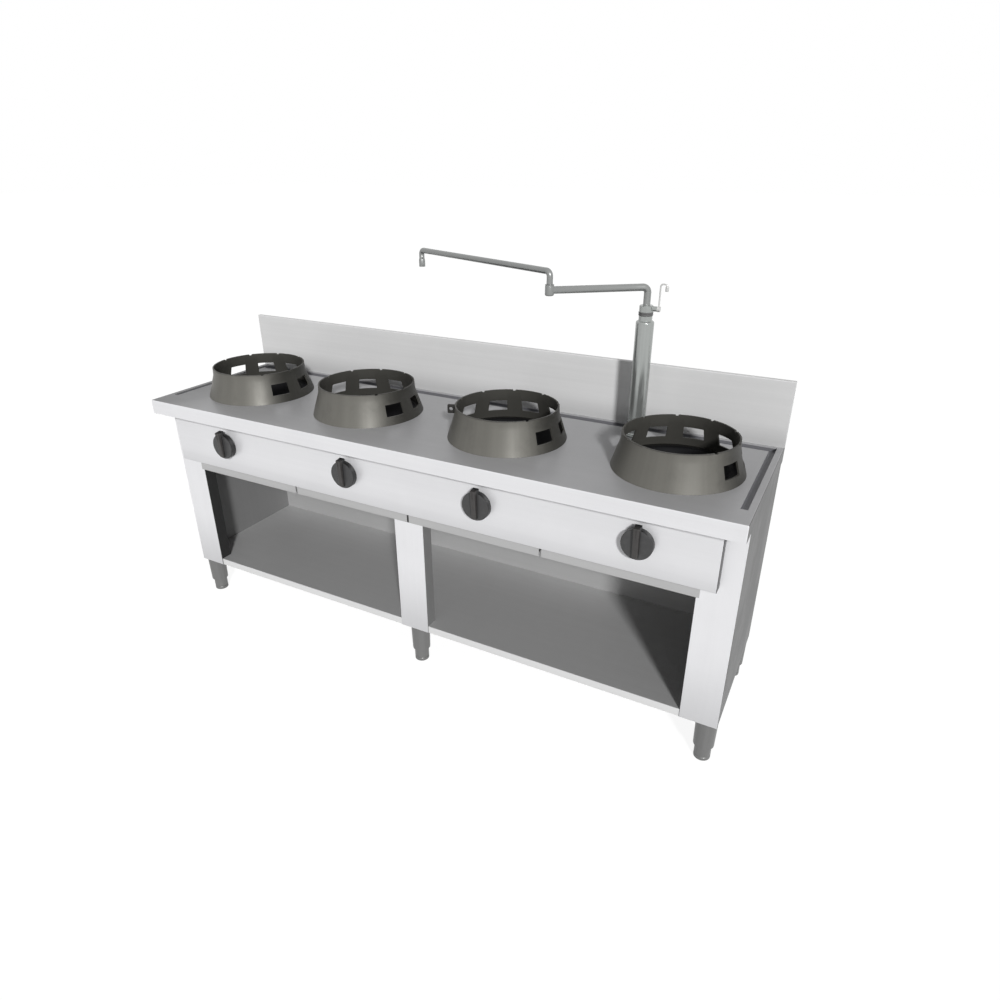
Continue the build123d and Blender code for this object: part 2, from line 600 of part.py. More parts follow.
for number, x in enumerate(BURNER_X, start=1):
    with BuildPart() as burner:
        rod((x, BURNER_Y, TUBE_Z), RISER_R, HEAD_BOTTOM - TUBE_Z)
        rod((x, BURNER_Y - TUBE_LENGTH, TUBE_Z), TUBE_R, TUBE_LENGTH, BACKWARD)
        with Locations((x, BURNER_Y, TUBE_Z)):
            Sphere(RISER_R)
        slab((x - BURNER_FOOT / 2, x + BURNER_FOOT / 2),
             (BURNER_Y - BURNER_RAIL_OFFSET - BURNER_FOOT / 2,
              BURNER_Y + BURNER_RAIL_OFFSET + BURNER_FOOT / 2),
             (RAIL_Z, TUBE_Z))
        rod((x, BURNER_Y - TUBE_LENGTH, TUBE_Z), TUBE_BORE_R, TUBE_BORE_DEPTH, BACKWARD,
            Mode.SUBTRACT)
        with Locations((x, BURNER_Y, HEAD_BOTTOM)):
            Cylinder(HEAD_R, HEAD_HEIGHT, align=FROM_BASE)
        chamfer(burner.edges().filter_by(GeomType.CIRCLE).group_by(Axis.Z)[-1], FOOT_CHAMFER * 2)
        with Locations((x, BURNER_Y, HEAD_BOTTOM + HEAD_HEIGHT - PORT_DEPTH)):
            with PolarLocations(PORT_CIRCLE_R, PORT_COUNT):
                Cylinder(PORT_R, PORT_DEPTH * 2, align=FROM_BASE, mode=Mode.SUBTRACT)
        slab((x - LUG_BAR_REACH, x + LUG_BAR_REACH),
             (BURNER_Y - LUG_BAR_WIDTH / 2, BURNER_Y + LUG_BAR_WIDTH / 2),
             (LUG_BAR_Z, LUG_BAR_Z + LUG_BAR_HEIGHT))
        for offset, radius in ((PILOT_OFFSET, PILOT_R), (-PILOT_OFFSET, THERMO_R)):
            rod((x + offset, BURNER_Y, LUG_BAR_Z - SHEET), radius + SLIP,
                LUG_BAR_HEIGHT + 2 * SHEET, mode=Mode.SUBTRACT)
    finish(burner, "burner_" + str(number))

for name, offset, radius in (("pilots", PILOT_OFFSET, PILOT_R),
                             ("thermocouples", -PILOT_OFFSET, THERMO_R)):
    with BuildPart() as probes:
        for x in BURNER_X:
            rod((x + offset, BURNER_Y, PILOT_BOTTOM), radius, PILOT_LENGTH)
    finish(probes, name)

# ---------------------------------------------------------------- wok rings
for number, x in enumerate(BURNER_X, start=1):
    with BuildPart() as wok_ring:
        with BuildSketch(profile_plane(x, BURNER_Y, TOP + RING_LIFT_GAP)):
            with BuildLine():
                Polyline((RING_BASE_R - RING_WALL, 0),
                         (RING_BASE_R, 0),
                         (RING_NECK_R, RING_NECK_Z),
                         (RING_TOP_R, RING_HEIGHT),
                         (RING_TOP_R - RING_WALL, RING_HEIGHT),
                         (RING_NECK_R - RING_WALL, RING_NECK_Z),
                         close=True)
            make_face()
        revolve(axis=Axis((x, BURNER_Y, 0), (0, 0, 1)))
        if number == LUG_RING:
            with Locations(Location((x, BURNER_Y, TOP + RING_HEIGHT - LUG_TOP_DROP), (0, 0, LUG_ANGLE))):
                with Locations((LUG_ROOT_R, 0, -LUG_HEIGHT / 2)):
                    Box(LUG_TIP_R - LUG_ROOT_R, LUG_THICK, LUG_HEIGHT,
                        align=(Align.MIN, Align.CENTER, Align.CENTER))
                with Locations(Location((RING_TOP_R + LUG_REACH / 2, 0, -LUG_HEIGHT / 2), (90, 0, 0))):
                    Cylinder(LUG_HOLE_R, 2 * LUG_THICK, mode=Mode.SUBTRACT)
        with Locations((x, BURNER_Y, TOP + VENT_BOTTOM + VENT_HEIGHT / 2)):
            with PolarLocations(RING_NECK_R, VENT_COUNT, VENT_FIRST, VENT_STEP * (VENT_COUNT - 1),
                                endpoint=True):
                Box(RING_NECK_R / 2, VENT_WIDTH, VENT_HEIGHT, mode=Mode.SUBTRACT)
        with Locations((x, BURNER_Y, TOP + RING_HEIGHT)):
            with PolarLocations(RING_TOP_R, VENT_COUNT + 1, VENT_FIRST - VENT_STEP / 2,
                                VENT_STEP * VENT_COUNT, endpoint=True):
                Box(RING_WALL * 4, NOTCH_WIDTH, NOTCH_DEPTH * 2, mode=Mode.SUBTRACT)
    finish(wok_ring, "wok_ring_" + str(number))

# ---------------------------------------------------------------- gas supply
with BuildPart() as gas_manifold:
    manifold_corners = ((MANIFOLD_START_X, MANIFOLD_Y, MANIFOLD_Z),
                        (MANIFOLD_RUN_X, MANIFOLD_Y, MANIFOLD_Z),
                        (MANIFOLD_RUN_X, BACK - INLET_LENGTH, MANIFOLD_Z))
    pipe(manifold_corners, MANIFOLD_R, MANIFOLD_BEND)
    for x in KNOB_X:
        rod((x, MANIFOLD_Y, MANIFOLD_Z - BOSS_DROP), BOSS_R, BOSS_DROP)
    rod((MANIFOLD_RUN_X, BACK - INLET_LENGTH, MANIFOLD_Z), INLET_R, INLET_LENGTH, BACKWARD)
    bore_corners = ((MANIFOLD_START_X + MANIFOLD_WALL, MANIFOLD_Y, MANIFOLD_Z),
                    (MANIFOLD_RUN_X, MANIFOLD_Y, MANIFOLD_Z),
                    (MANIFOLD_RUN_X, BACK - INLET_LENGTH, MANIFOLD_Z))
    pipe(bore_corners, MANIFOLD_R - MANIFOLD_WALL, MANIFOLD_BEND, Mode.SUBTRACT)
    rod((MANIFOLD_RUN_X, BACK - INLET_LENGTH, MANIFOLD_Z), INLET_BORE_R, INLET_LENGTH,
        BACKWARD, Mode.SUBTRACT)
finish(gas_manifold, "gas_manifold")

with BuildPart() as manifold_brackets:
    for x in (-BRACKET_X, 0.0, BRACKET_X):
        slab((x - BRACKET_FOOT / 2, x + BRACKET_FOOT / 2), (FACE_BACK, FACE_BACK + SHEET),
             (MANIFOLD_Z - BRACKET_HALF, MANIFOLD_Z + BRACKET_HALF))
        slab((x - BRACKET / 2, x + BRACKET / 2), (FACE_BACK, MANIFOLD_Y + BRACKET_HALF),
             (MANIFOLD_Z - BRACKET_HALF, MANIFOLD_Z + BRACKET_HALF))
        rod((x - BRACKET, MANIFOLD_Y, MANIFOLD_Z), MANIFOLD_R + SLIP, 2 * BRACKET, RIGHTWARD,
            Mode.SUBTRACT)
finish(manifold_brackets, "manifold_brackets")

with BuildPart() as gas_taps:
    for x in KNOB_X:
        rod((x, TAP_FRONT, KNOB_Z), TAP_R, TAP_LENGTH, BACKWARD)
        rod((x, MANIFOLD_Y, KNOB_Z), BOSS_R, MANIFOLD_Z - BOSS_DROP - KNOB_Z)
        rod((x, TAP_OUTLET_Y, KNOB_Z - TAP_R - SHEET), FEED_R * 1.5, TAP_R)
        rod((x, TAP_FRONT, KNOB_Z), SPINDLE_R + SPINDLE_FIT, SPINDLE_SEAT + SHEET, BACKWARD,
            Mode.SUBTRACT)
finish(gas_taps, "gas_taps")

FEED_TOP = KNOB_Z - TAP_R - SHEET
INJECTOR_END = BURNER_Y - TUBE_LENGTH + INJECTOR_INSERT
with BuildPart() as feed_pipes:
    for tap_x, burner_x in zip(KNOB_X, BURNER_X):
        pipe(((tap_x, TAP_OUTLET_Y, FEED_TOP),
              (tap_x, TAP_OUTLET_Y, TUBE_Z),
              (burner_x, TAP_OUTLET_Y, TUBE_Z),
              (burner_x, INJECTOR_END - INJECTOR_LENGTH, TUBE_Z)), FEED_R, FEED_BEND)
finish(feed_pipes, "feed_pipes")

with BuildPart() as injectors:
    for x in BURNER_X:
        rod((x, INJECTOR_END - INJECTOR_LENGTH, TUBE_Z), INJECTOR_R, INJECTOR_LENGTH, BACKWARD)
finish(injectors, "injectors")

with BuildPart() as bezels:
    for x in KNOB_X:
        rod((x, PANEL_Y - BEZEL_THICK, KNOB_Z), BEZEL_R, BEZEL_THICK, BACKWARD)
        rod((x, PANEL_Y - BEZEL_THICK, KNOB_Z), PANEL_HOLE_R, BEZEL_THICK, BACKWARD, Mode.SUBTRACT)
finish(bezels, "bezels")

for number, x in enumerate(KNOB_X, start=1):
    with BuildPart() as spindle:
        rod((x, SPINDLE_TIP_Y, KNOB_Z), SPINDLE_R, SPINDLE_BACK - SPINDLE_TIP_Y, BACKWARD)
    finish(spindle, "spindle_" + str(number))

    with BuildPart() as knob:
        rod((x, KNOB_BACK - KNOB_THICK, KNOB_Z), KNOB_R, KNOB_THICK, BACKWARD)
        fillet(knob.edges().filter_by(GeomType.CIRCLE).group_by(Axis.Y)[0], KNOB_EDGE)
        slab((x - GRIP_WIDTH / 2, x + GRIP_WIDTH / 2),
             (KNOB_BACK - KNOB_THICK - GRIP_HEIGHT, KNOB_BACK),
             (KNOB_Z - KNOB_R + KNOB_EDGE, KNOB_Z + GRIP_TOP))
        grip_end = knob.faces().filter_by(Plane.XZ).sort_by(Axis.Y)[0]
        fillet(grip_end.edges(), GRIP_ROUND)
        with Locations((x, KNOB_BACK - KNOB_THICK - GRIP_HEIGHT,
                        KNOB_Z + GRIP_TOP - 2 * GRIP_ROUND - POINTER_LENGTH / 2)):
            Box(POINTER_WIDTH, 2 * POINTER_DEPTH, POINTER_LENGTH, mode=Mode.SUBTRACT)
        rod((x, KNOB_BACK - KNOB_HOLLOW, KNOB_Z), KNOB_HOLLOW_R, KNOB_HOLLOW, BACKWARD,
            Mode.SUBTRACT)
        rod((x, KNOB_BACK - KNOB_BORE, KNOB_Z), SPINDLE_R + SPINDLE_FIT, KNOB_BORE, BACKWARD,
            Mode.SUBTRACT)
    finish(knob, "knob_" + str(number))

# ---------------------------------------------------------------- water column
with BuildPart() as water_column:
    rod((COLUMN_X, COLUMN_Y, TOP), COLUMN_BASE_R, COLUMN_BASE)
    rod((COLUMN_X, COLUMN_Y, TOP), COLUMN_R, COLUMN_TOP - TOP)
    chamfer(water_column.edges().filter_by(GeomType.CIRCLE).group_by(Axis.Z)[-1],
            COLUMN_R - NECK_R - SHEET)
    rod((COLUMN_X, COLUMN_Y, COLUMN_TOP), NECK_R, NECK_TOP - COLUMN_TOP)
    rod((COLUMN_X, COLUMN_Y, TOP - SHANK_LENGTH), SHANK_R, SHANK_LENGTH)
    rod((COLUMN_X, COLUMN_Y, NECK_TOP - SWIVEL_DEPTH), SWIVEL_R + SWIVEL_FIT, SWIVEL_DEPTH,
        mode=Mode.SUBTRACT)
finish(water_column, "water_column")

with BuildPart() as swivel_seal:
    rod((COLUMN_X, COLUMN_Y, NECK_TOP + RIDE_GAP), SEAL_R, SEAL_HEIGHT)
    rod((COLUMN_X, COLUMN_Y, NECK_TOP + RIDE_GAP), SWIVEL_R + SLIP, SEAL_HEIGHT,
        mode=Mode.SUBTRACT)
finish(swivel_seal, "swivel_seal")

with BuildPart() as swivel_valve:
    rod((COLUMN_X, COLUMN_Y, VALVE_BOTTOM), VALVE_R, VALVE_TOP - VALVE_BOTTOM)
    chamfer(swivel_valve.edges().filter_by(GeomType.CIRCLE).group_by(Axis.Z)[-1], SHEET)
    rod((COLUMN_X, COLUMN_Y, NECK_TOP - SWIVEL_DEPTH + SHEET), SWIVEL_R,
        VALVE_BOTTOM - NECK_TOP + SWIVEL_DEPTH - SHEET)
    rod((COLUMN_X, COLUMN_Y, STUB_Z), STUB_R, STUB_REACH, RIGHTWARD)
    rod((STUB_END - PIN_LENGTH, COLUMN_Y, STUB_Z), PIN_R + PIN_FIT, PIN_LENGTH, RIGHTWARD,
        Mode.SUBTRACT)
finish(swivel_valve, "swivel_valve")

with BuildPart() as lever:
    pipe(((LEVER_X, COLUMN_Y, STUB_Z),
          (LEVER_X, COLUMN_Y, LEVER_TOP),
          (LEVER_X + LEVER_HOOK, COLUMN_Y, LEVER_TOP),
          (LEVER_X + LEVER_HOOK, COLUMN_Y, LEVER_TOP - LEVER_DROP)), LEVER_ROD_R, LEVER_BEND)
    rod((STUB_END + RIDE_GAP, COLUMN_Y, STUB_Z), LEVER_HUB_R, LEVER_HUB, RIGHTWARD)
    rod((STUB_END + SHEET - PIN_LENGTH, COLUMN_Y, STUB_Z), PIN_R, PIN_LENGTH, RIGHTWARD)
    rod((LEVER_X + LEVER_HOOK, COLUMN_Y, LEVER_TOP - LEVER_DROP - LEVER_TIP_R), LEVER_TIP_R,
        LEVER_DROP)
    fillet(lever.edges().filter_by(GeomType.CIRCLE).filter_by(
        lambda edge: abs(edge.radius - LEVER_TIP_R) < SLIP), LEVER_TIP_R / 3)
finish(lever, "lever")

with BuildPart() as lower_arm:
    lower_corners = ((COLUMN_X, COLUMN_Y, VALVE_TOP),
                     (COLUMN_X, COLUMN_Y, ARM_Z),
                     (ELBOW_X, ELBOW_Y, ARM_Z))
    pipe(lower_corners, ARM_R, ARM_BEND)
    rod((ELBOW_X, ELBOW_Y, SOCKET_BOTTOM), SOCKET_R, SOCKET_TOP - SOCKET_BOTTOM)
    chamfer(lower_arm.edges().filter_by(GeomType.CIRCLE).filter_by(
        lambda edge: abs(edge.radius - SOCKET_R) < SLIP and edge.center().Z < ARM_Z - ARM_R), SHEET)
    rod((ELBOW_X, ELBOW_Y, SOCKET_TOP - SPIGOT_DEPTH), SPIGOT_R + SPIGOT_FIT, SPIGOT_DEPTH,
        mode=Mode.SUBTRACT)
    pipe(lower_corners, ARM_R - ARM_WALL, ARM_BEND, Mode.SUBTRACT)
finish(lower_arm, "lower_arm")

RISER_BOTTOM = SOCKET_TOP + RIDE_GAP
with BuildPart() as upper_arm:
    upper_corners = ((ELBOW_X, ELBOW_Y, RISER_BOTTOM),
                     (ELBOW_X, ELBOW_Y, UPPER_Z),
                     (SPOUT_X, SPOUT_Y, UPPER_Z),
                     (SPOUT_X, SPOUT_Y, SPOUT_END + SHEET))
    pipe(upper_corners, UPPER_R, UPPER_BEND)
    rod((SPOUT_X, SPOUT_Y, SPOUT_END), SPOUT_SLEEVE_R, SPOUT_SLEEVE - UPPER_BEND)
    pipe(upper_corners, UPPER_R - ARM_WALL, UPPER_BEND, Mode.SUBTRACT)
    rod((SPOUT_X, SPOUT_Y, SPOUT_END), UPPER_R - ARM_WALL, SHEET, mode=Mode.SUBTRACT)
    rod((ELBOW_X, ELBOW_Y, RISER_BOTTOM), UPPER_R, SHEET)
    rod((ELBOW_X, ELBOW_Y, RISER_BOTTOM - SPIGOT_LENGTH), SPIGOT_R, SPIGOT_LENGTH)
    rod((ELBOW_X, ELBOW_Y, RISER_BOTTOM - SPIGOT_LENGTH), SPIGOT_BORE_R, SPIGOT_LENGTH + 2 * SHEET,
        mode=Mode.SUBTRACT)
finish(upper_arm, "upper_arm")

with BuildPart() as water_pipe:
    water_corners = ((COLUMN_X, COLUMN_Y, TOP - SHANK_LENGTH),
                     (COLUMN_X, COLUMN_Y, WATER_Z),
                     (COLUMN_X, BACK - SHEET, WATER_Z))
    pipe(water_corners, WATER_R, WATER_BEND)
    rod((COLUMN_X, BACK - WATER_STUB, WATER_Z), WATER_STUB_R, WATER_STUB, BACKWARD)
    pipe(water_corners, WATER_BORE_R, WATER_BEND, Mode.SUBTRACT)
    rod((COLUMN_X, BACK - WATER_STUB, WATER_Z), WATER_BORE_R, WATER_STUB, BACKWARD, Mode.SUBTRACT)
finish(water_pipe, "water_pipe")

# ---------------------------------------------------------------- drain
with BuildPart() as drain_pipe:
    drain_corners = ((DRAIN_X, DRAIN_Y, DRAIN_TOP),
                     (DRAIN_X, DRAIN_Y, DRAIN_Z),
                     (DRAIN_X, BACK, DRAIN_Z))
    pipe(drain_corners, DRAIN_R, DRAIN_BEND)
    pipe(drain_corners, DRAIN_HOLE_R, DRAIN_BEND, Mode.SUBTRACT)
    with BuildSketch(Plane.XY.offset(DRAIN_TOP - DRAIN_FLANGE)):
        with Locations((DRAIN_X, DRAIN_Y)):
            Circle(DRAIN_FLANGE_R)
            Circle(DRAIN_HOLE_R, mode=Mode.SUBTRACT)
    extrude(amount=DRAIN_FLANGE)
finish(drain_pipe, "drain_pipe")

with BuildPart() as strainer:
    rod((DRAIN_X, DRAIN_Y, STRAINER_Z), STRAINER_R, STRAINER_SHEET)
    rod((DRAIN_X, DRAIN_Y, STRAINER_Z - STRAINER_CUP), STRAINER_CUP_R, STRAINER_CUP)
    rod((DRAIN_X, DRAIN_Y, STRAINER_Z - STRAINER_CUP + STRAINER_SHEET),
        STRAINER_CUP_R - STRAINER_SHEET, STRAINER_CUP + STRAINER_SHEET, mode=Mode.SUBTRACT)
    with Locations((DRAIN_X, DRAIN_Y, STRAINER_Z - STRAINER_CUP - STRAINER_SHEET)):
        with PolarLocations(STRAINER_RING_R, STRAINER_HOLES):
            Cylinder(STRAINER_HOLE_R, 4 * STRAINER_SHEET, align=FROM_BASE, mode=Mode.SUBTRACT)
finish(strainer, "strainer")
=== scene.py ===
# %% [markdown]
# # A wok range, dressed around its measured solids
# The measured model comes in as a fixed frame: every sheet, pipe and knob already has
# its size and its place, in metres. This lesson gives each of them the finish that the
# real one has, and builds the pieces that people look at again with rounder edges.

# %% Load the frame
from math import atan2, cos, pi, radians, sin

import bmesh
import bpy
from mathutils import Matrix, Vector


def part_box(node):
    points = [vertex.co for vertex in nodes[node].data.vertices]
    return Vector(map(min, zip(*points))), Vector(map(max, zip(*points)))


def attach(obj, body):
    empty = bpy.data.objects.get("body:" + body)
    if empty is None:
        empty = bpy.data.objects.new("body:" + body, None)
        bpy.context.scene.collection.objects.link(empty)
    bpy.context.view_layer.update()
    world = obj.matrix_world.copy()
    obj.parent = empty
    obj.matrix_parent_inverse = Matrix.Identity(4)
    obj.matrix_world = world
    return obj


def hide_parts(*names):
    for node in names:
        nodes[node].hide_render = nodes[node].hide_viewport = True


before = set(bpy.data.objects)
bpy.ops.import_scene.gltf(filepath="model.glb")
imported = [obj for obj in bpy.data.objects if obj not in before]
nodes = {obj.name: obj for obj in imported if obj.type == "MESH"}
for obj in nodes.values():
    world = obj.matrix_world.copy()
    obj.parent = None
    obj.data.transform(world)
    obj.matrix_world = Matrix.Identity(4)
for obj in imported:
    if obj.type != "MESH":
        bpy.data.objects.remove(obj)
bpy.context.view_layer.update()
MM = 0.001
X, Y, Z = 0, 1, 2
FULL_TURN = 2 * pi
NUMBERS = range(1, 5)

# %% [markdown]
# ## Camera
# The camera's place was solved from edges and ellipses in the photograph. A focal length
# of 707 pixels on a frame of 1000 is a lens of about 25 mm on a 36 mm sensor, so the
# near end of the range looks clearly taller than the far end.

# %% Set the camera
FOCAL_PIXELS = 707.2
FRAME_PIXELS = 1000.0
SENSOR = 36.0
CAMERA_PLACE = (1.2180, -1.8845, 1.6370)
LOOK_DOWN = 25.765
LOOK_FROM_RIGHT = 27.777


def new_object(name, data):
    """A new object in the scene, for a mesh, a camera or a lamp."""
    made = bpy.data.objects.new(name, data)
    bpy.context.scene.collection.objects.link(made)
    return made


lens = bpy.data.cameras.new("photo_camera")
lens.sensor_width = SENSOR
lens.lens = FOCAL_PIXELS * SENSOR / FRAME_PIXELS
camera = new_object("photo_camera", lens)
camera.location = CAMERA_PLACE
camera.rotation_euler = (radians(90 - LOOK_DOWN), 0, radians(LOOK_FROM_RIGHT))
bpy.context.scene.camera = camera
print("lens:", round(lens.lens, 2), "mm")

# %% [markdown]
# ## Node expressions
# Materials and Geometry Nodes are both trees of nodes, and sums made of Math nodes are
# hard to read. The first class wraps a node's output, so that an expression such as
# 1 - mask * 0.5 adds the Math nodes itself. The second adds any other node.


# %% Wrap the sockets
class Wire:
    """One output of a node. Arithmetic and comparisons on it add nodes to its tree."""

    def __init__(self, builder, socket):
        self.builder = builder
        self.socket = socket

    def maths(self, operation, *others):
        return self.builder.node("ShaderNodeMath", dict(enumerate((self, *others))),
                                 operation=operation)

    def logic(self, kind, operation, other):
        return self.builder.node(kind, {0: self, 1: other}, operation=operation)

    def __add__(self, other):
        return self.maths("ADD", other)

    def __mul__(self, other):
        return self.maths("MULTIPLY", other)

    def __sub__(self, other):
        return self.maths("SUBTRACT", other)

    def __rsub__(self, other):
        return self.builder.node("ShaderNodeMath", {0: other, 1: self}, operation="SUBTRACT")

    def __truediv__(self, other):
        return self.maths("DIVIDE", other)

    def __lt__(self, other):
        return self.logic("FunctionNodeCompare", "LESS_THAN", other)

    def __and__(self, other):
        return self.logic("FunctionNodeBooleanMath", "AND", other)

    def __or__(self, other):
        return self.logic("FunctionNodeBooleanMath", "OR", other)

    __radd__ = __add__
    __rmul__ = __mul__


class Builder:
    """A node tree under construction."""

    def __init__(self, tree):
        self.tree = tree

    def node(self, kind, values=None, out=0, **settings):
        """Add a node with its settings, and the values or links of its sockets."""
        made = self.tree.nodes.new(kind)
        for key, value in settings.items():
            setattr(made, key, value)
        for key, value in (values or {}).items():
            if isinstance(value, Wire):
                self.tree.links.new(value.socket, made.inputs[key])
            else:
                made.inputs[key].default_value = value
        return Wire(self, made.outputs[out]) if len(made.outputs) else made

    def part(self, place, axis):
        """The x, y or z of a place."""
        return self.node("ShaderNodeSeparateXYZ", {0: place}, out=axis)

    def ramp(self, value, low, high, start=0.0, end=1.0, kind="LINEAR"):
        """Start below one value, end above another, and a blend between them."""
        return self.node("ShaderNodeMapRange", {0: value, 1: low, 2: high, 3: start, 4: end},
                         interpolation_type=kind)


print("expressions ready")

# %% [markdown]
# ## Finishes
# A finish is a tree of shader nodes. The same steps come back in all of them: noise, soft
# bands, zones of another tone, and a surface that closes the tree.

# %% Describe a finish
ZONE_EDGE = 0.4 * MM


class Finish(Builder):
    """The tree of a material, or of the world."""

    def __init__(self, owner):
        owner.use_nodes = True
        super().__init__(owner.node_tree)
        self.tree.nodes.clear()
        self.material = owner

    def place(self):
        return self.node("ShaderNodeTexCoord", out="Object")

    def mix(self, factor, first, second, blend="MIX"):
        return self.node("ShaderNodeMix", {0: factor, 6: first, 7: second}, out=2,
                         data_type="RGBA", blend_type=blend)

    def noise(self, place, scale, detail, roughness=0.55):
        return self.node("ShaderNodeTexNoise", {"Vector": place, "Scale": scale,
                                                "Detail": detail, "Roughness": roughness})

    def stretched(self, place, scale):
        return self.node("ShaderNodeMapping", {"Vector": place, "Scale": scale})

    def band(self, value, low, high):
        """0 below one value, 1 above another, a soft step between them."""
        return self.ramp(value, low, high, kind="SMOOTHSTEP")

    def zoned(self, place, colour, zones):
        """Other tones inside ranges of the object's x, y or z."""
        for axis, low, high, tone in zones:
            along = self.part(place, axis)
            inside = (self.band(along, low - ZONE_EDGE, low + ZONE_EDGE)
                      - self.band(along, high - ZONE_EDGE, high + ZONE_EDGE))
            colour = self.mix(inside, colour, tone)
        return colour

    def mottled(self, colour, change):
        """The colour, lighter or darker by a part of itself that changes over it."""
        level = self.mix((change + 1.0) * 0.5, grey(0.0), grey(1.0))
        dimmed = self.mix(1.0, colour, level, "MULTIPLY")
        return self.mix(1.0, dimmed, dimmed, "ADD")

    def surface(self, tone, metallic, gloss, relief, mirror=0.5):
        """Close the material. The relief is a height, a strength and a depth."""
        height, strength, depth = relief
        bump = self.node("ShaderNodeBump",
                         {"Strength": strength, "Distance": depth, "Height": height})
        shader = self.node("ShaderNodeBsdfPrincipled",
                           {"Base Color": tone, "Metallic": metallic, "Roughness": gloss,
                            "Specular IOR Level": mirror, "Normal": bump})
        self.node("ShaderNodeOutputMaterial", {"Surface": shader})
        return self.material


def new_finish(name):
    return Finish(bpy.data.materials.new(name))


def grey(level, blue=1.0):
    """A neutral tone, with a touch of blue if the second value is above 1."""
    return (level, level, level * blue, 1.0)


def shade(colour, factor):
    return tuple(channel * factor for channel in colour[:3]) + (1.0,)


print("zone edges:", ZONE_EDGE)

# %% [markdown]
# ## Brushed stainless steel
# Stainless sheet has a ground grain that runs one way: fine scratches up close, soft
# streaks from further away. Both are noise that is stretched along the grain. Wiping
# leaves broad marks in the gloss, from a slow noise in the roughness. Each sheet gets
# its own tone of the same steel, as painted light and shade: open fronts are lightest,
# tops mid grey, sides and the faces inside the bays darker. A sheet may have zones: a
# zone is a range along one axis of the object's own coordinates, with the tone that the
# steel has there, such as a front edge painted lit or an end painted in shade. A sheet
# can also be painted darker along one axis, as painted shade: a front towards the
# floor, the splash back towards the worktop, the worktop towards its far end. Under
# each ring the worktop is black.

# %% Make the steel finishes
ALONG_X = (1.5, 150.0, 150.0)
ALONG_Z = (150.0, 150.0, 1.5)
UNDER_RING_BLACK = (0.012, 0.0115, 0.011, 1.0)
UNDER_RING_EDGE = (183 * MM, 187 * MM)


def brushed_steel(name, colour, grain, zones=(), metallic=0.25, roughness=0.38, streak=0.05,
                  mirror=0.35, black_around=(), painted_shade=None):
    finish = new_finish(name)
    place = finish.place()
    # Paint the sheet darker towards one end of an axis, as painted shade.
    if painted_shade:
        axis, low, high, left = painted_shade
        lit = finish.band(finish.part(place, axis), low, high)
        colour = finish.mix(lit, shade(colour, left), colour)
    colour = finish.zoned(place, colour, zones)
    # Inside the foot of each ring the worktop is black.
    for centre in black_around:
        away = finish.node("ShaderNodeVectorMath", {0: place, 1: centre}, out=1,
                           operation="DISTANCE")
        colour = finish.mix(finish.band(away, *UNDER_RING_EDGE), UNDER_RING_BLACK, colour)
    fine = finish.noise(finish.stretched(place, grain), 6.0, 2.0)
    soft = finish.noise(finish.stretched(place, grain), 0.35, 3.0)
    marks = finish.noise(place, 4.5, 4.0, 0.6)
    wiped = finish.band(marks, 0.42, 0.66)
    change = (soft - 0.5) * (2 * streak) + (fine - 0.5) * streak - wiped * 0.02
    gloss = roughness + (fine - 0.5) * 0.10 + (soft - 0.5) * 0.08 + wiped * 0.05
    return finish.surface(finish.mottled(colour, change), metallic, gloss,
                          (fine, 0.10, 0.4 * MM), mirror)


FAR = 10.0
EDGE = 1.2 * MM
FRONT_EDGE = 1.5 * MM
JOINT = 1 * MM


def above(axis, start, tone):
    return (axis, start, FAR, tone)


def below(axis, end, tone):
    return (axis, -FAR, end, tone)


top_low, top_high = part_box("worktop")
panel_low, panel_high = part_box("control_panel")
shelf_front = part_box("bottom_shelf")[0].y
left_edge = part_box("left_upright")[1].x
centre_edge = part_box("centre_upright")[1].x
right_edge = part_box("right_upright")[0].x
tray_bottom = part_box("drip_tray_1")[0].z
# One steel, painted lit and shaded: a lit tone for fronts, a mid grey top, and dark tones for
# ends, far edges and the sunken channel, as painted shade.
LIT_FRONT_TONE = grey(0.90, 1.02)
TOP_TONE = grey(0.425, 1.02)
END_PAINTED_SHADE = grey(0.052, 1.01)
FAR_END_PAINTED_SHADE = grey(0.22, 1.01)
CHANNEL_PAINTED_SHADE = grey(0.175, 1.07)
BURNER_SETBACK = 4 * MM
burners = []
for number in NUMBERS:
    low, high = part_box("burner_" + str(number))
    burners.append(((low.x + high.x) / 2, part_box("pilots")[0].y + BURNER_SETBACK, top_high.z))

# The worktop's front edge is painted lit. Its ends, back edge and channel are painted in shade,
# and it is painted darker towards its far end.
worktop_steel = brushed_steel(
    "worktop_steel", TOP_TONE, ALONG_X, metallic=0.18, mirror=0.25, black_around=burners,
    painted_shade=(X, top_low.x, top_low.x + 340 * MM, 0.54),
    zones=(below(Z, top_high.z - 4 * MM, CHANNEL_PAINTED_SHADE), above(X, top_high.x - EDGE, END_PAINTED_SHADE),
           below(X, top_low.x + EDGE, FAR_END_PAINTED_SHADE),
           above(Y, top_high.y - EDGE, FAR_END_PAINTED_SHADE),
           below(Y, top_low.y + FRONT_EDGE, LIT_FRONT_TONE)))
# The panel is painted darker towards its bottom, and its ends are painted in shade.
panel_steel = brushed_steel(
    "panel_steel", grey(0.85, 1.02), ALONG_X, streak=0.03, painted_shade=(Z, 600 * MM, 690 * MM, 0.84),
    zones=(above(X, panel_high.x - EDGE, END_PAINTED_SHADE), below(X, panel_low.x + EDGE, FAR_END_PAINTED_SHADE)))
# The uprights are painted darker towards the floor, and their inner returns are painted in shade.
post_painted_shade = (Z, 100 * MM, 430 * MM, 0.73)
post_steel = brushed_steel(
    "post_steel", LIT_FRONT_TONE, ALONG_Z, streak=0.03, painted_shade=post_painted_shade,
    zones=((X, left_edge - EDGE, left_edge + JOINT, grey(0.035)),
           (X, right_edge - JOINT, right_edge + EDGE, grey(0.12))))
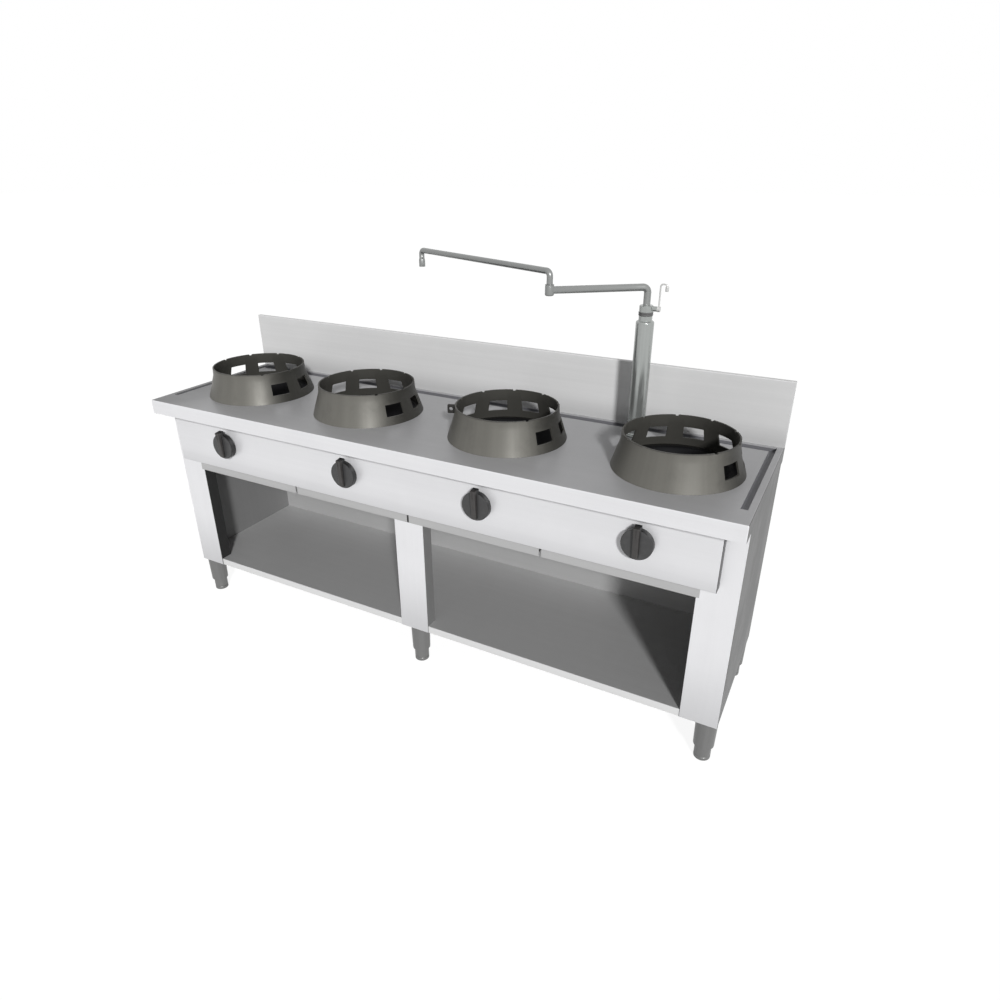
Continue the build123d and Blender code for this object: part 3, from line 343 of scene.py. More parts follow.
# The centre upright's return is painted in shade. Above the bottom of the trays, where it shows in
# the gap between them, it is painted in shade too.
centre_steel = brushed_steel(
    "centre_steel", LIT_FRONT_TONE, ALONG_Z, streak=0.03, painted_shade=post_painted_shade,
    zones=(above(X, centre_edge - EDGE, grey(0.255)), above(Z, tray_bottom - JOINT, grey(0.05))))
# The splash back is painted darker towards the worktop, as painted shade.
splash_steel = brushed_steel("splash_steel", grey(0.73), ALONG_X, metallic=0.12, mirror=0.2,
                             painted_shade=(Z, top_high.z, top_high.z + 85 * MM, 0.76))
# The right side, the left side and the back panel are the same steel in darker tones, as painted
# shade.
side_steel = brushed_steel("side_steel", grey(0.112), ALONG_Z, metallic=0.08, mirror=0.10)
inner_steel = brushed_steel("inner_steel", grey(0.225), ALONG_Z)
back_steel = brushed_steel("back_steel", grey(0.43), ALONG_X)
# The shelf's top is mid grey and its front edge is painted lit.
shelf_steel = brushed_steel("shelf_steel", grey(0.465), ALONG_X,
                            zones=(below(Y, shelf_front + FRONT_EDGE, grey(0.80)),))
# The tray fronts are painted in the shadow of the control panel above them.
tray_steel = brushed_steel("tray_steel", grey(0.52), ALONG_X)
rail_steel = brushed_steel("rail_steel", grey(0.40), ALONG_X, roughness=0.45)
print("steel finishes:", len(bpy.data.materials))

# %% [markdown]
# ## Tube, iron, plastic and brass
# The water column is a drawn tube: its faint marks run lengthwise and its gloss is
# higher. The wok rings are heavy iron, dark and a little brown, with upright grinding
# marks. Their side with the vents and the top of their rim are painted in shade, and
# inside they are darker, partly from soot and partly as painted shade. The third ring's
# lug is painted in shade too. Knobs are moulded plastic, whose matt grain shows only in
# the roughness and the bump; the rim of each cap and the foot of each bar are painted
# in shade.

# %% Make the other finishes
VENT_SIDE = (cos(radians(71)), sin(radians(71)), 0.0)
RING_RIM = (948.5 * MM, 952.5 * MM)
BURNER_RIM = (789.5 * MM, 790.5 * MM)
KNOB_THICK = 19 * MM


def turned_steel(name, colour, metallic, roughness, mirror=0.5, grain=(130, 130, 2.5)):
    finish = new_finish(name)
    place = finish.place()
    drawn = finish.noise(finish.stretched(place, grain), 1.0, 2.0)
    marks = finish.noise(place, 14.0, 4.0, 0.6)
    tone = finish.mix(marks, shade(colour, 0.94), shade(colour, 1.05))
    tone = finish.mottled(tone, (drawn - 0.5) * 0.22)
    gloss = roughness + (drawn - 0.5) * 0.12 + finish.band(marks, 0.45, 0.70) * 0.08
    return finish.surface(tone, metallic, gloss, (drawn, 0.03, 0.2 * MM), mirror)


def cast_metal(name, colour, metallic, roughness, worn=None, grain=420.0, mirror=0.2):
    """Cast iron, or enamel on it: a pebbled skin, stains, and a rim worn bright."""
    finish = new_finish(name)
    place = finish.place()
    pebble = finish.noise(place, grain, 2.0)
    stain = finish.noise(place, 16.0, 5.0, 0.62)
    tone = finish.mix(finish.band(stain, 0.35, 0.70), shade(colour, 0.86), shade(colour, 1.10))
    gloss = roughness + (pebble - 0.5) * 0.12 + (stain - 0.5) * 0.16
    if worn:
        rim, bright = worn
        rubbed = finish.band(finish.part(place, Z) + (stain - 0.5) * (6 * MM), *rim)
        tone = finish.mix(rubbed, tone, bright)
        gloss = gloss - rubbed * 0.12
    return finish.surface(tone, metallic, gloss, (pebble, 0.25, 0.6 * MM), mirror)


def ring_iron(name, colour, rim_shade_tone):
    """The rings' iron. Two attributes of the mesh say which way is outward and inside."""
    finish = new_finish(name)
    place = finish.place()
    around = finish.node("ShaderNodeAttribute", out="Vector", attribute_name="around")
    bands = finish.noise(finish.stretched(around, (5.0, 5.0, 0.7)), 1.0, 2.0)
    lines = finish.noise(finish.stretched(around, (90.0, 90.0, 1.0)), 1.0, 2.0)
    stain = finish.noise(place, 18.0, 5.0, 0.62)
    pebble = finish.noise(place, 500.0, 2.0)
    tone = finish.mix(finish.band(bands, 0.30, 0.70), shade(colour, 0.94), shade(colour, 1.07))
    tone = finish.mix(lines * 0.30, tone, shade(colour, 1.20))
    tone = finish.mix(finish.band(stain, 0.50, 0.75) * 0.4, tone, shade(colour, 0.80))
    # The side with the vents, to the right and the back, is painted in shade.
    vented = finish.node("ShaderNodeVectorMath", {0: around, 1: VENT_SIDE}, out=1,
                         operation="DOT_PRODUCT")
    painted_vent_shade = finish.band(vented + (stain - 0.5) * 0.25, -0.60, 0.12)
    tone = finish.mix(painted_vent_shade * 0.82, tone, shade(colour, 0.10))
    # The top of the rim is painted in shade.
    painted_rim_shade = finish.band(finish.part(place, Z) + (stain - 0.5) * (5 * MM), *RING_RIM)
    tone = finish.mix(painted_rim_shade * 0.7, tone, rim_shade_tone)
    # Inside, the wall is darker, partly from soot and partly as painted shade.
    soot_and_shade = finish.node("ShaderNodeAttribute", out="Fac", attribute_name="inside")
    tone = finish.mix(soot_and_shade * (0.90 + (stain - 0.5) * 0.3), tone, shade(colour, 0.42))
    gloss = 0.42 + (lines - 0.5) * 0.10 + (stain - 0.5) * 0.14 + painted_rim_shade * 0.06 + soot_and_shade * 0.12
    return finish.surface(tone, 0.15, gloss, (lines + pebble, 0.20, 0.5 * MM), 0.16)


def moulded(name, colour, roughness, zones=()):
    finish = new_finish(name)
    place = finish.place()
    colour = finish.zoned(place, colour, zones)
    grit = finish.noise(place, 900.0, 2.0)
    rubbed = finish.noise(place, 55.0, 4.0, 0.6)
    tone = finish.mottled(colour, (finish.band(rubbed, 0.40, 0.72) - 0.5) * 0.25)
    gloss = roughness + (grit - 0.5) * 0.14 - finish.band(rubbed, 0.50, 0.75) * 0.08
    return finish.surface(tone, 0.0, gloss, (grit, 0.18, 0.3 * MM))


tube_steel = turned_steel("tube_steel", (0.372, 0.388, 0.378), 0.70, 0.20)
arm_steel = turned_steel("arm_steel", (0.275, 0.283, 0.278), 0.40, 0.26, grain=(4, 4, 4))
lever_steel = turned_steel("lever_steel", (0.66, 0.66, 0.65), 0.25, 0.28)
foot_steel = turned_steel("foot_steel", (0.195, 0.195, 0.193), 0.5, 0.36, 0.25)
plated_steel = turned_steel("plated_steel", (0.50, 0.49, 0.46), 0.7, 0.34)
brass = turned_steel("brass", (0.56, 0.42, 0.19), 0.85, 0.32)
iron = ring_iron("iron", (0.152, 0.148, 0.133), (0.050, 0.048, 0.045, 1.0))
# The lug is painted in shade: the same iron, much darker than the ring.
painted_shade_lug = cast_metal("painted_shade_lug", (0.032, 0.031, 0.029), 0.2, 0.60)
burner_iron = cast_metal("burner_iron", (0.030, 0.029, 0.027), 0.2, 0.60,
                         worn=(BURNER_RIM, (0.07, 0.07, 0.065, 1.0)))
enamel = cast_metal("enamel", (0.008, 0.008, 0.009), 0.0, 0.50, grain=160.0, mirror=0.06)
face_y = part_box("knob_1")[1].y - KNOB_THICK
# The rim of the cap and the foot of the bar are painted in shade.
knob_plastic = moulded("knob_plastic", grey(0.052, 1.02), 0.42, zones=(
    below(Y, face_y - 0.5 * MM, grey(0.020)),
    below(Y, face_y - 4 * MM, (0.046, 0.043, 0.0415, 1.0)),
    above(Y, face_y + 0.8 * MM, grey(0.012))))
seal_rubber = moulded("seal_rubber", grey(0.13), 0.55)
print("all finishes ready")

# %% [markdown]
# ## Helpers for pieces
# Every piece ends the same way: its modifiers are applied, it gets its material, it
# rides on a body, and it stands for its solid.

# %% Place a piece
FLAT_ENOUGH = radians(35.0)


def apply_modifiers(piece):
    """Turn what the modifiers make into the piece's own mesh."""
    graph = bpy.context.evaluated_depsgraph_get()
    graph.update()
    plain = bpy.data.meshes.new_from_object(piece.evaluated_get(graph))
    piece.modifiers.clear()
    old = piece.data
    piece.data = plain
    bpy.data.meshes.remove(old)
    return piece


def round_edges(piece, width, segments=2):
    """Round every sharp edge, and shade the result smoothly."""
    bevel = piece.modifiers.new("rounding", "BEVEL")
    bevel.width = width
    bevel.segments = segments
    bevel.limit_method = "ANGLE"
    bevel.angle_limit = FLAT_ENOUGH
    bevel.miter_outer = "MITER_ARC"
    shading = piece.modifiers.new("flat_faces_stay_flat", "WEIGHTED_NORMAL")
    shading.weight = 100
    for face in piece.data.polygons:
        face.use_smooth = True
    return apply_modifiers(piece)


def dress(piece, body, slot, material, *replaced):
    """Give a piece its finish, its body and the solids that it stands for."""
    piece.data.materials.clear()
    piece.data.materials.append(material)
    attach(piece, body)
    if replaced:
        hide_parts(*replaced)


def triangles(piece):
    return sum(len(face.vertices) - 2 for face in piece.data.polygons)


print("helpers ready")

# %% [markdown]
# ## Folded sheets
# The cabinet is folded from sheet. Its size is right already, but a fold has a small
# radius that catches the light, and a measured solid has knife edges. In a copy of each
# solid, loose triangles are merged, flat faces joined, and edges rounded by a Bevel.

# %% Round the folded sheets
WELD = 0.01 * MM
FOLD = 0.7 * MM
TRAY_FOLD = 0.45 * MM


def rounded_copy(node, width):
    """A copy of a solid with its triangles merged and its edges rounded."""
    mesh = bpy.data.meshes.new(node)
    shape = bmesh.new()
    shape.from_mesh(nodes[node].data)
    bmesh.ops.remove_doubles(shape, verts=shape.verts, dist=WELD)
    bmesh.ops.dissolve_limit(shape, angle_limit=radians(1.0), use_dissolve_boundaries=False,
                             verts=shape.verts, edges=shape.edges)
    shape.to_mesh(mesh)
    shape.free()
    return round_edges(new_object("dressed_" + node, mesh), width)


SHEETS = {
    "worktop": worktop_steel, "backsplash": splash_steel, "left_side_panel": inner_steel,
    "right_side_panel": side_steel, "back_panel": back_steel, "bottom_shelf": shelf_steel,
    "left_upright": post_steel, "centre_upright": centre_steel, "right_upright": post_steel,
    "control_panel": panel_steel, "worktop_rails": rail_steel,
    "tray_cross_rails": rail_steel, "tray_runners": rail_steel, "burner_rails": rail_steel,
}
OTHER_SLOTS = {"worktop": "brushed_top", "burner_rails": "plated_steel"}
for node, material in SHEETS.items():
    slot = OTHER_SLOTS.get(node, "brushed_panel")
    dress(rounded_copy(node, FOLD), "range", slot, material, node)
for number in NUMBERS:
    node = "drip_tray_" + str(number)
    dress(rounded_copy(node, TRAY_FOLD), node, "brushed_panel", tray_steel, node)
print("folded sheets:", len(SHEETS) + len(NUMBERS))

# %% [markdown]
# ## Turned shapes
# Knobs, bowls, the column and the feet are turned about an axis. One function spins an
# outline, given as radius and height, about a vertical axis. An outline that starts and
# ends on the axis closes there in one point, and any other outline is a loop. Most are
# written in millimetres above a level of the measured model.

# %% Turn an outline
STEPS = 96
ON_AXIS = 1e-7
BLOCK_FACES = ((0, 1, 2, 3), (4, 5, 6, 7), (0, 1, 5, 4), (1, 2, 6, 5), (2, 3, 7, 6), (3, 0, 4, 7))


def outline(level, *points):
    """Radii and heights in metres, from millimetres above a level."""
    return [(radius * MM, level + height * MM) for radius, height in points]


def to_piece(name, shape):
    mesh = bpy.data.meshes.new(name)
    shape.to_mesh(mesh)
    shape.free()
    return new_object(name, mesh)


def turned_piece(name, points, centre=(0, 0, 0), steps=STEPS):
    """A piece turned from an outline, listed anticlockwise."""
    shape = bmesh.new()
    rows = []
    for radius, height in points:
        around = range(steps if radius > ON_AXIS else 1)
        rows.append([shape.verts.new((radius * cos(FULL_TURN * step / steps),
                                      radius * sin(FULL_TURN * step / steps), height))
                     for step in around])
    if len(rows[0]) > 1:
        rows.append(rows[0])
    for low, high in zip(rows, rows[1:]):
        for step in range(steps):
            after = (step + 1) % steps
            corners = [low[step % len(low)], low[after % len(low)],
                       high[after % len(high)], high[step % len(high)]]
            unique = list(dict.fromkeys(corners))
            if len(unique) > 2:
                shape.faces.new(unique)
    bmesh.ops.translate(shape, verts=shape.verts, vec=centre)
    bmesh.ops.recalc_face_normals(shape, faces=shape.faces)
    return to_piece(name, shape)


def cut(piece, tool, operation="DIFFERENCE"):
    """Cut one closed piece with another, or join them."""
    knife = piece.modifiers.new("cut", "BOOLEAN")
    knife.operation = operation
    knife.solver = "EXACT"
    knife.object = tool
    apply_modifiers(piece)
    bpy.data.objects.remove(tool)


def block(name, corners):
    """A closed block from its eight corners, the lower four first."""
    shape = bmesh.new()
    points = [shape.verts.new(corner) for corner in corners]
    for face in BLOCK_FACES:
        shape.faces.new([points[index] for index in face])
    bmesh.ops.recalc_face_normals(shape, faces=shape.faces)
    return to_piece(name, shape)


def box_corners(low, high):
    around = ((low[X], low[Y]), (high[X], low[Y]), (high[X], high[Y]), (low[X], high[Y]))
    return [(x, y, z) for z in (low[Z], high[Z]) for x, y in around]


print("turning ready")

# %% [markdown]
# ## Rules
# Some shapes follow a rule. A modifier with Geometry Nodes makes them from a few inputs,
# and the result is kept as a plain mesh.


# %% Describe a rule
class Rule(Builder):
    """A tree of Geometry Nodes, with named inputs."""

    def __init__(self, name, inputs):
        super().__init__(bpy.data.node_groups.new(name, "GeometryNodeTree"))
        self.keys = {}
        sockets = self.tree.interface
        for label, kind in {"Geometry": "Geometry", **inputs}.items():
            made = sockets.new_socket(label, socket_type="NodeSocket" + kind)
            self.keys[label] = made.identifier
        sockets.new_socket("Geometry", in_out="OUTPUT", socket_type="NodeSocketGeometry")
        self.source = self.tree.nodes.new("NodeGroupInput")

    def given(self, label):
        return Wire(self, self.source.outputs[label])

    def welded(self, *parts):
        """Parts as one mesh, with the points that meet merged."""
        joined = self.node("GeometryNodeJoinGeometry")
        for part in reversed(parts):
            self.tree.links.new(part.socket, joined.socket.node.inputs[0])
        return self.node("GeometryNodeMergeByDistance", {"Geometry": joined, "Distance": WELD})

    def at_points(self, points, instance):
        return self.node("GeometryNodeInstanceOnPoints", {"Points": points, "Instance": instance})

    def close(self, geometry, material):
        real = self.node("GeometryNodeRealizeInstances", {0: geometry})
        painted = self.node("GeometryNodeSetMaterial", {"Geometry": real, "Material": material})
        self.node("NodeGroupOutput", {0: painted})
        return self

    def run(self, name, values, mesh=None):
        """A plain mesh piece made by this tree."""
        piece = new_object(name, mesh or bpy.data.meshes.new(name))
        modifier = piece.modifiers.new("rule", "NODES")
        modifier.node_group = self.tree
        for label, value in values.items():
            modifier[self.keys[label]] = value
        return apply_modifiers(piece)


print("rules ready")

# %% [markdown]
# ## Wok rings by rule
# A wok ring is a cone with a neck, pierced by six vents and notched round its rim. It
# follows a rule, so Geometry Nodes make it: a flat grid is wrapped round the axis, the
# cells of the vents and notches are deleted, and the sheet that is left is extruded
# inwards to its wall. The modifier's inputs are the sizes, so each ring could be
# another size with no new code.

# %% Build the ring rule
RING_COLUMNS = 480
RING_ROWS = 51
RING_SIZES = {
    "Base radius": 188 * MM, "Neck radius": 163.5 * MM, "Top radius": 162 * MM,
    "Neck height": 76 * MM, "Height": 102 * MM, "Wall": 5 * MM,
    "First vent": radians(-22.5), "Vent step": radians(37.5), "Vents": 6.0,
    "Vent half angle": radians(10.5), "Vent bottom": 26 * MM, "Vent top": 64 * MM,
    "Notch half angle": radians(1.5), "Notch depth": 4 * MM,
}


def ring_rule():
    rule = Rule("wok_ring_rule", dict.fromkeys(RING_SIZES, "Float"))
    given = rule.given
    grid = rule.node("GeometryNodeMeshGrid",
                     {"Size X": 1.0, "Size Y": 1.0, "Vertices X": RING_COLUMNS + 1,
                      "Vertices Y": RING_ROWS + 1}, out="Mesh")
    flat = rule.node("GeometryNodeInputPosition")
    turn = (rule.part(flat, X) + 0.5) * FULL_TURN
    height = (rule.part(flat, Y) + 0.5) * given("Height")
    # the radius runs from the base to the neck, and on to the top
    cone = rule.ramp(height, 0.0, given("Neck height"), given("Base radius"), given("Neck radius"))
    neck = rule.ramp(height, given("Neck height"), given("Height"), 0.0,
                     given("Top radius") - given("Neck radius"))
    around = rule.node("ShaderNodeCombineXYZ", {X: turn.maths("COSINE"), Y: turn.maths("SINE")})
    spread = rule.node("ShaderNodeVectorMath", {0: around, "Scale": cone + neck},
                       operation="SCALE")
    upward = rule.node("ShaderNodeCombineXYZ", {Z: height})
    wrapped = rule.node("ShaderNodeVectorMath", {0: spread, 1: upward}, operation="ADD")
    # a face is chosen by its middle on the flat grid, in steps from the first vent
    start = turn - given("First vent")

    def nearest(shift):
        """The step that a face is in, and its distance from the step's middle."""
        turned = (start + shift).maths("FLOORED_MODULO", FULL_TURN)
        cell = (turned / given("Vent step")).maths("FLOOR")
        return cell, (turned - (cell + 0.5) * given("Vent step")).maths("ABSOLUTE")

    cell, away = nearest(given("Vent step") * 0.5)
    vent = ((away < given("Vent half angle")) & (cell < given("Vents"))
            & (given("Vent bottom") < height) & (height < given("Vent top")))
    cell, away = nearest(given("Vent step"))
    notch = ((away < given("Notch half angle")) & (cell < given("Vents") + 1.0)
             & (given("Height") - given("Notch depth") < height))
    pierced = rule.node("GeometryNodeDeleteGeometry",
                        {"Geometry": grid, "Selection": vent | notch}, domain="FACE")
    marked = rule.node("GeometryNodeStoreNamedAttribute",
                       {"Geometry": pierced, "Name": "outward", "Value": around},
                       data_type="FLOAT_VECTOR", domain="POINT")
    bent = rule.node("GeometryNodeSetPosition", {"Geometry": marked, "Position": wrapped})
    outside = rule.welded(bent)
    outward = rule.node("GeometryNodeInputNamedAttribute", {"Name": "outward"},
                        data_type="FLOAT_VECTOR")
    wall = rule.node("GeometryNodeExtrudeMesh",
                     {"Mesh": outside, "Offset": outward, "Individual": False,
                      "Offset Scale": given("Wall") * -1.0}, mode="FACES")
    inside = rule.node("GeometryNodeFlipFaces", {"Mesh": wall})
    return rule.close(rule.welded(outside, inside), iron)


print("ring columns:", RING_COLUMNS)

# %% [markdown]
# The rule gives knife edges. A real ring is ground, so the corners of its vents and
# notches are rounded, by a bevel on the edges that run through the wall there, and then
# every rim gets a small radius. The third ring has a lug to lift it by, a small plate on
# edge with a hole.

# %% Make the four wok rings
VENT_CORNER = 3 * MM
RING_EDGE = 0.8 * MM
INSIDE_FROM = 0.6
LUGGED = 3
LUGGED_Y = -18 * MM
LUG_TURN = radians(203.0)
LUG_START = 159.5 * MM
LUG_REACH = 27 * MM
LUG_HALF = 4.5 * MM
LUG_BOTTOM = 70 * MM
LUG_TOP = 98 * MM
LUG_ROUND = 2.5 * MM
LUG_HOLE = 6 * MM
LUG_HOLE_AT = 175.5 * MM


def round_corners(piece, width):
    """Round the sharp edges that run through the wall, at the openings."""
    shape = bmesh.new()
    shape.from_mesh(piece.data)
    bmesh.ops.dissolve_limit(shape, angle_limit=radians(0.3), verts=shape.verts, edges=shape.edges)
    bmesh.ops.recalc_face_normals(shape, faces=shape.faces)
    corners = []
    for edge in shape.edges:
        along = edge.verts[1].co - edge.verts[0].co
        middle = (edge.verts[1].co + edge.verts[0].co) / 2
        outward = Vector((middle.x, middle.y, 0)).normalized()
        through = abs(along.normalized().dot(outward)) > 0.9
        if through and edge.calc_face_angle(0.0) > radians(60):
            corners.append(edge)
    bmesh.ops.bevel(shape, geom=corners, offset=width, segments=4, profile=0.5,
                    affect="EDGES", clamp_overlap=True)
    shape.to_mesh(piece.data)
    shape.free()
    return len(corners)


def mark_walls(piece):
    """Store which way is outward, and 1 where the wall faces the flame."""
    mesh = piece.data
    base, wall = RING_SIZES["Base radius"], RING_SIZES["Wall"]
    slope = (base - RING_SIZES["Neck radius"]) / RING_SIZES["Neck height"]
    around, inside = [], []
    for vertex in mesh.vertices:
        outward = Vector((vertex.co.x, vertex.co.y, 0))
        outer = max(base - slope * vertex.co.z, RING_SIZES["Top radius"])
        inside.append(1.0 if outer - outward.length > wall * INSIDE_FROM else 0.0)
        around.extend(outward.normalized())
    mesh.attributes.new("around", "FLOAT_VECTOR", "POINT").data.foreach_set("vector", around)
    mesh.attributes.new("inside", "FLOAT", "POINT").data.foreach_set("value", inside)


def lifting_lug():
    lug = block("ring_lug", box_corners((LUG_START, -LUG_HALF, LUG_BOTTOM),
                                        (LUG_START + LUG_REACH, LUG_HALF, LUG_TOP)))
    round_edges(lug, LUG_ROUND, 4)
    drill = turned_piece("hole", [(0, -LUG_REACH), (LUG_HOLE, -LUG_REACH),
                                  (LUG_HOLE, LUG_REACH), (0, LUG_REACH)], steps=40)
    drill.data.transform(Matrix.Translation((LUG_HOLE_AT, 0, (LUG_BOTTOM + LUG_TOP) / 2))
                         @ Matrix.Rotation(radians(90), 4, "X"))
    cut(lug, drill)
    round_edges(lug, 0.5 * MM)
    lug.data.transform(Matrix.Rotation(LUG_TURN, 4, "Z"))
    return lug


rule = ring_rule()
for number in NUMBERS:
    node = "wok_ring_" + str(number)
    low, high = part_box(node)
    ring = rule.run("ring_" + str(number), RING_SIZES)
    corners = round_corners(ring, VENT_CORNER)
    round_edges(ring, RING_EDGE)
    mark_walls(ring)
    centre_y = LUGGED_Y if number == LUGGED else (low.y + high.y) / 2
    place = Matrix.Translation((burners[number - 1][X], centre_y, low.z))
    ring.data.transform(place)
    dress(ring, node, "wok_ring_iron", iron, node)
    if number == LUGGED:
        lug = lifting_lug()
        lug.data.transform(place)
        dress(lug, node, "wok_ring_iron", painted_shade_lug)
    print(ring.name, "corners:", corners, "triangles:", triangles(ring))

# %% [markdown]
# ## Knobs
# A knob is a moulded cap with a bar across it for the fingers. The bar is highest at
# its pointer end, which stands a little past the cap's edge. The cap is turned, the bar
# is a wedge with rounded edges, and a Boolean modifier joins them. A fine line is cut
# into the pointer end. The back is hollow, with a bore for the spindle.

# %% Make the knobs
CAP_R = 45 * MM
CAP_EDGE = 2.5 * MM
CAP_BACK_EDGE = 1 * MM
HOLLOW_R = 38 * MM
HOLLOW = 9 * MM
BORE_R = 5.05 * MM
BORE = 29 * MM
BAR_HALF = 10 * MM
BAR_TAPER = 0.80
BAR_HIGH = 15.6 * MM
BAR_LOW = 9.8 * MM
BAR_FOOT = -40 * MM
BAR_TIP = 58 * MM
FOOT_SLOPE = 4 * MM
TIP_SLOPE = 3 * MM
LINE_HALF = 1.4 * MM
LINE_DEEP = 0.7 * MM
LINE_LONG = 24 * MM
LINE_FROM_TIP = 6 * MM
LINE_RAISED = 3.6 * MM
OVER = 4 * MM
TO_FRONT = Matrix.Rotation(radians(90), 4, "X")


def knob_at(name, centre):
    """A knob whose back middle is at a point, its face towards the front."""
    cap = turned_piece(name, [
        (0, 0), (CAP_R - CAP_BACK_EDGE, 0), (CAP_R, CAP_BACK_EDGE),
        (CAP_R, KNOB_THICK - CAP_EDGE),
        (CAP_R - 0.3 * CAP_EDGE, KNOB_THICK - 0.3 * CAP_EDGE),
        (CAP_R - CAP_EDGE, KNOB_THICK), (0, KNOB_THICK)])
    top = KNOB_THICK + BAR_HIGH
    low = KNOB_THICK + BAR_LOW
    neck = BAR_HALF * BAR_TAPER
    foot, tip = BAR_FOOT + FOOT_SLOPE, BAR_TIP - TIP_SLOPE
    bar = block("bar", [(-BAR_HALF, BAR_FOOT, HOLLOW), (BAR_HALF, BAR_FOOT, HOLLOW),
                        (BAR_HALF, BAR_TIP, HOLLOW), (-BAR_HALF, BAR_TIP, HOLLOW),
                        (-neck, foot, low), (neck, foot, low),
                        (neck, tip, top), (-neck, tip, top)])
    round_edges(bar, 2.2 * MM, 3)
    cut(cap, bar, "UNION")
    line_low = BAR_TIP - LINE_FROM_TIP - LINE_LONG
    line = block("line", box_corners((-LINE_HALF, line_low, top - LINE_DEEP - OVER),
                                     (LINE_HALF, line_low + LINE_LONG, top + OVER)))
    slope = atan2(BAR_HIGH - BAR_LOW, BAR_TIP - BAR_FOOT)
    line.data.transform(Matrix.Translation((0, 0, LINE_RAISED)))
    line.data.transform(Matrix.Translation((0, BAR_TIP, top)) @ Matrix.Rotation(slope, 4, "X")
                        @ Matrix.Translation((0, -BAR_TIP, -top)))
    cut(cap, line)
    cut(cap, turned_piece("hollow", [(0, -1 * MM), (HOLLOW_R, -1 * MM), (HOLLOW_R, HOLLOW),
                                     (0, HOLLOW)]))
    cut(cap, turned_piece("bore", [(0, 0), (BORE_R, 0), (BORE_R, BORE), (0, BORE)], steps=32))
    round_edges(cap, 0.35 * MM)
    cap.data.transform(Matrix.Translation(centre) @ TO_FRONT)
    return cap


for number in NUMBERS:
    node = "knob_" + str(number)
    low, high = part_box(node)
    knob = knob_at("control_" + node, ((low.x + high.x) / 2, high.y, low.z + CAP_R))
    dress(knob, node, "knob_plastic", knob_plastic, node)
print(knob.name, "triangles:", triangles(knob))

# %% [markdown]
# ## Repeats at points
# Bowls, sleeves and screws are one shape at several places. This small rule puts a
# piece at every point of a mesh and turns the instances into real faces, because an
# export drops instances.

# %% Build the repeating rule


def repeated(name, original, places, material):
    rule = Rule(name + "_rule", {"Piece": "Object"})
    shown = rule.node("GeometryNodeObjectInfo", {"Object": rule.given("Piece")}, out="Geometry",
                      transform_space="ORIGINAL")
    rule.close(rule.at_points(rule.given("Geometry"), shown), material)
    points = bpy.data.meshes.new(name)
    points.from_pydata([tuple(place) for place in places], [], [])
    piece = rule.run(name, {"Piece": original}, points)
    bpy.data.objects.remove(original)
    return piece


print("repeating ready")

# %% [markdown]
# ## Bowls and burners
# Under each ring an enamelled bowl leads spills away from the flame. In its mouth sits
# a cast burner: a round head with two rings of ports and a crown, on a riser. The ports
# are holes, and a rule makes the ring of drills that a Boolean modifier cuts with.

# %% Make the bowls and the burner heads
HEAD_TOP = 790 * MM
PORT_R = 1.6 * MM
PORT_DEEP = 10 * MM
PORT_RINGS = ((18, 50 * MM, 2 * MM), (10, 31 * MM, 0.0))

bowl_low, bowl_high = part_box("burner_bowls")
bowl = turned_piece("bowl", outline(bowl_low.z, (70, 0))
                    + outline(bowl_high.z, (148, -2), (164, -2), (164, 0), (146.6, 0), (142, -5))
                    + outline(bowl_low.z, (68, 0)), steps=144)
round_edges(bowl, 0.5 * MM)
bowls = repeated("bowls", bowl, [(x, y, 0.0) for x, y, z in burners], enamel)
dress(bowls, "range", "black_enamel", enamel, "burner_bowls")


def drill_rule():
    rule = Rule("drill_ring", {"Count": "Int", "Circle radius": "Float",
                               "Hole radius": "Float", "Depth": "Float"})
    circle = rule.node("GeometryNodeMeshCircle",
                       {"Vertices": rule.given("Count"), "Radius": rule.given("Circle radius")})
    drill = rule.node("GeometryNodeMeshCylinder",
                      {"Vertices": 20, "Radius": rule.given("Hole radius"),
                       "Depth": rule.given("Depth")})
    return rule.close(rule.at_points(circle, drill), burner_iron)


drills = drill_rule()
for number in NUMBERS:
    node = "burner_" + str(number)
    x, y = burners[number - 1][:Z]
    head = rounded_copy(node, 0.8 * MM)
    crown = turned_piece("crown", outline(HEAD_TOP, (0, -2), (26, -2), (26, 2), (20, 4), (0, 5)),
                         (x, y, 0), 48)
    round_edges(crown, 0.8 * MM)
    cut(head, crown, "UNION")
    for count, circle, sunk in PORT_RINGS:
        tool = drills.run("drill", {"Count": count, "Circle radius": circle,
                                    "Hole radius": PORT_R, "Depth": PORT_DEEP})
        tool.data.transform(Matrix.Translation((x, y, HEAD_TOP - sunk)))
        cut(head, tool)
    dress(head, "range", "cast_burner", burner_iron, node)
print("burners:", number, "triangles each:", triangles(head))

# %% [markdown]
# ## Water column
# The column is a polished tube on a flange, with a weld bead where they meet. Above it
# come the seal, the swivel with its valve, and the arms. Geometry Nodes bend the pipes of
# the arms: a line of corners turns into a curve, the corners are filleted, and a circle
# is swept along it.

# %% Make the column and its valve
PIPE_WELD = 0.001 * MM


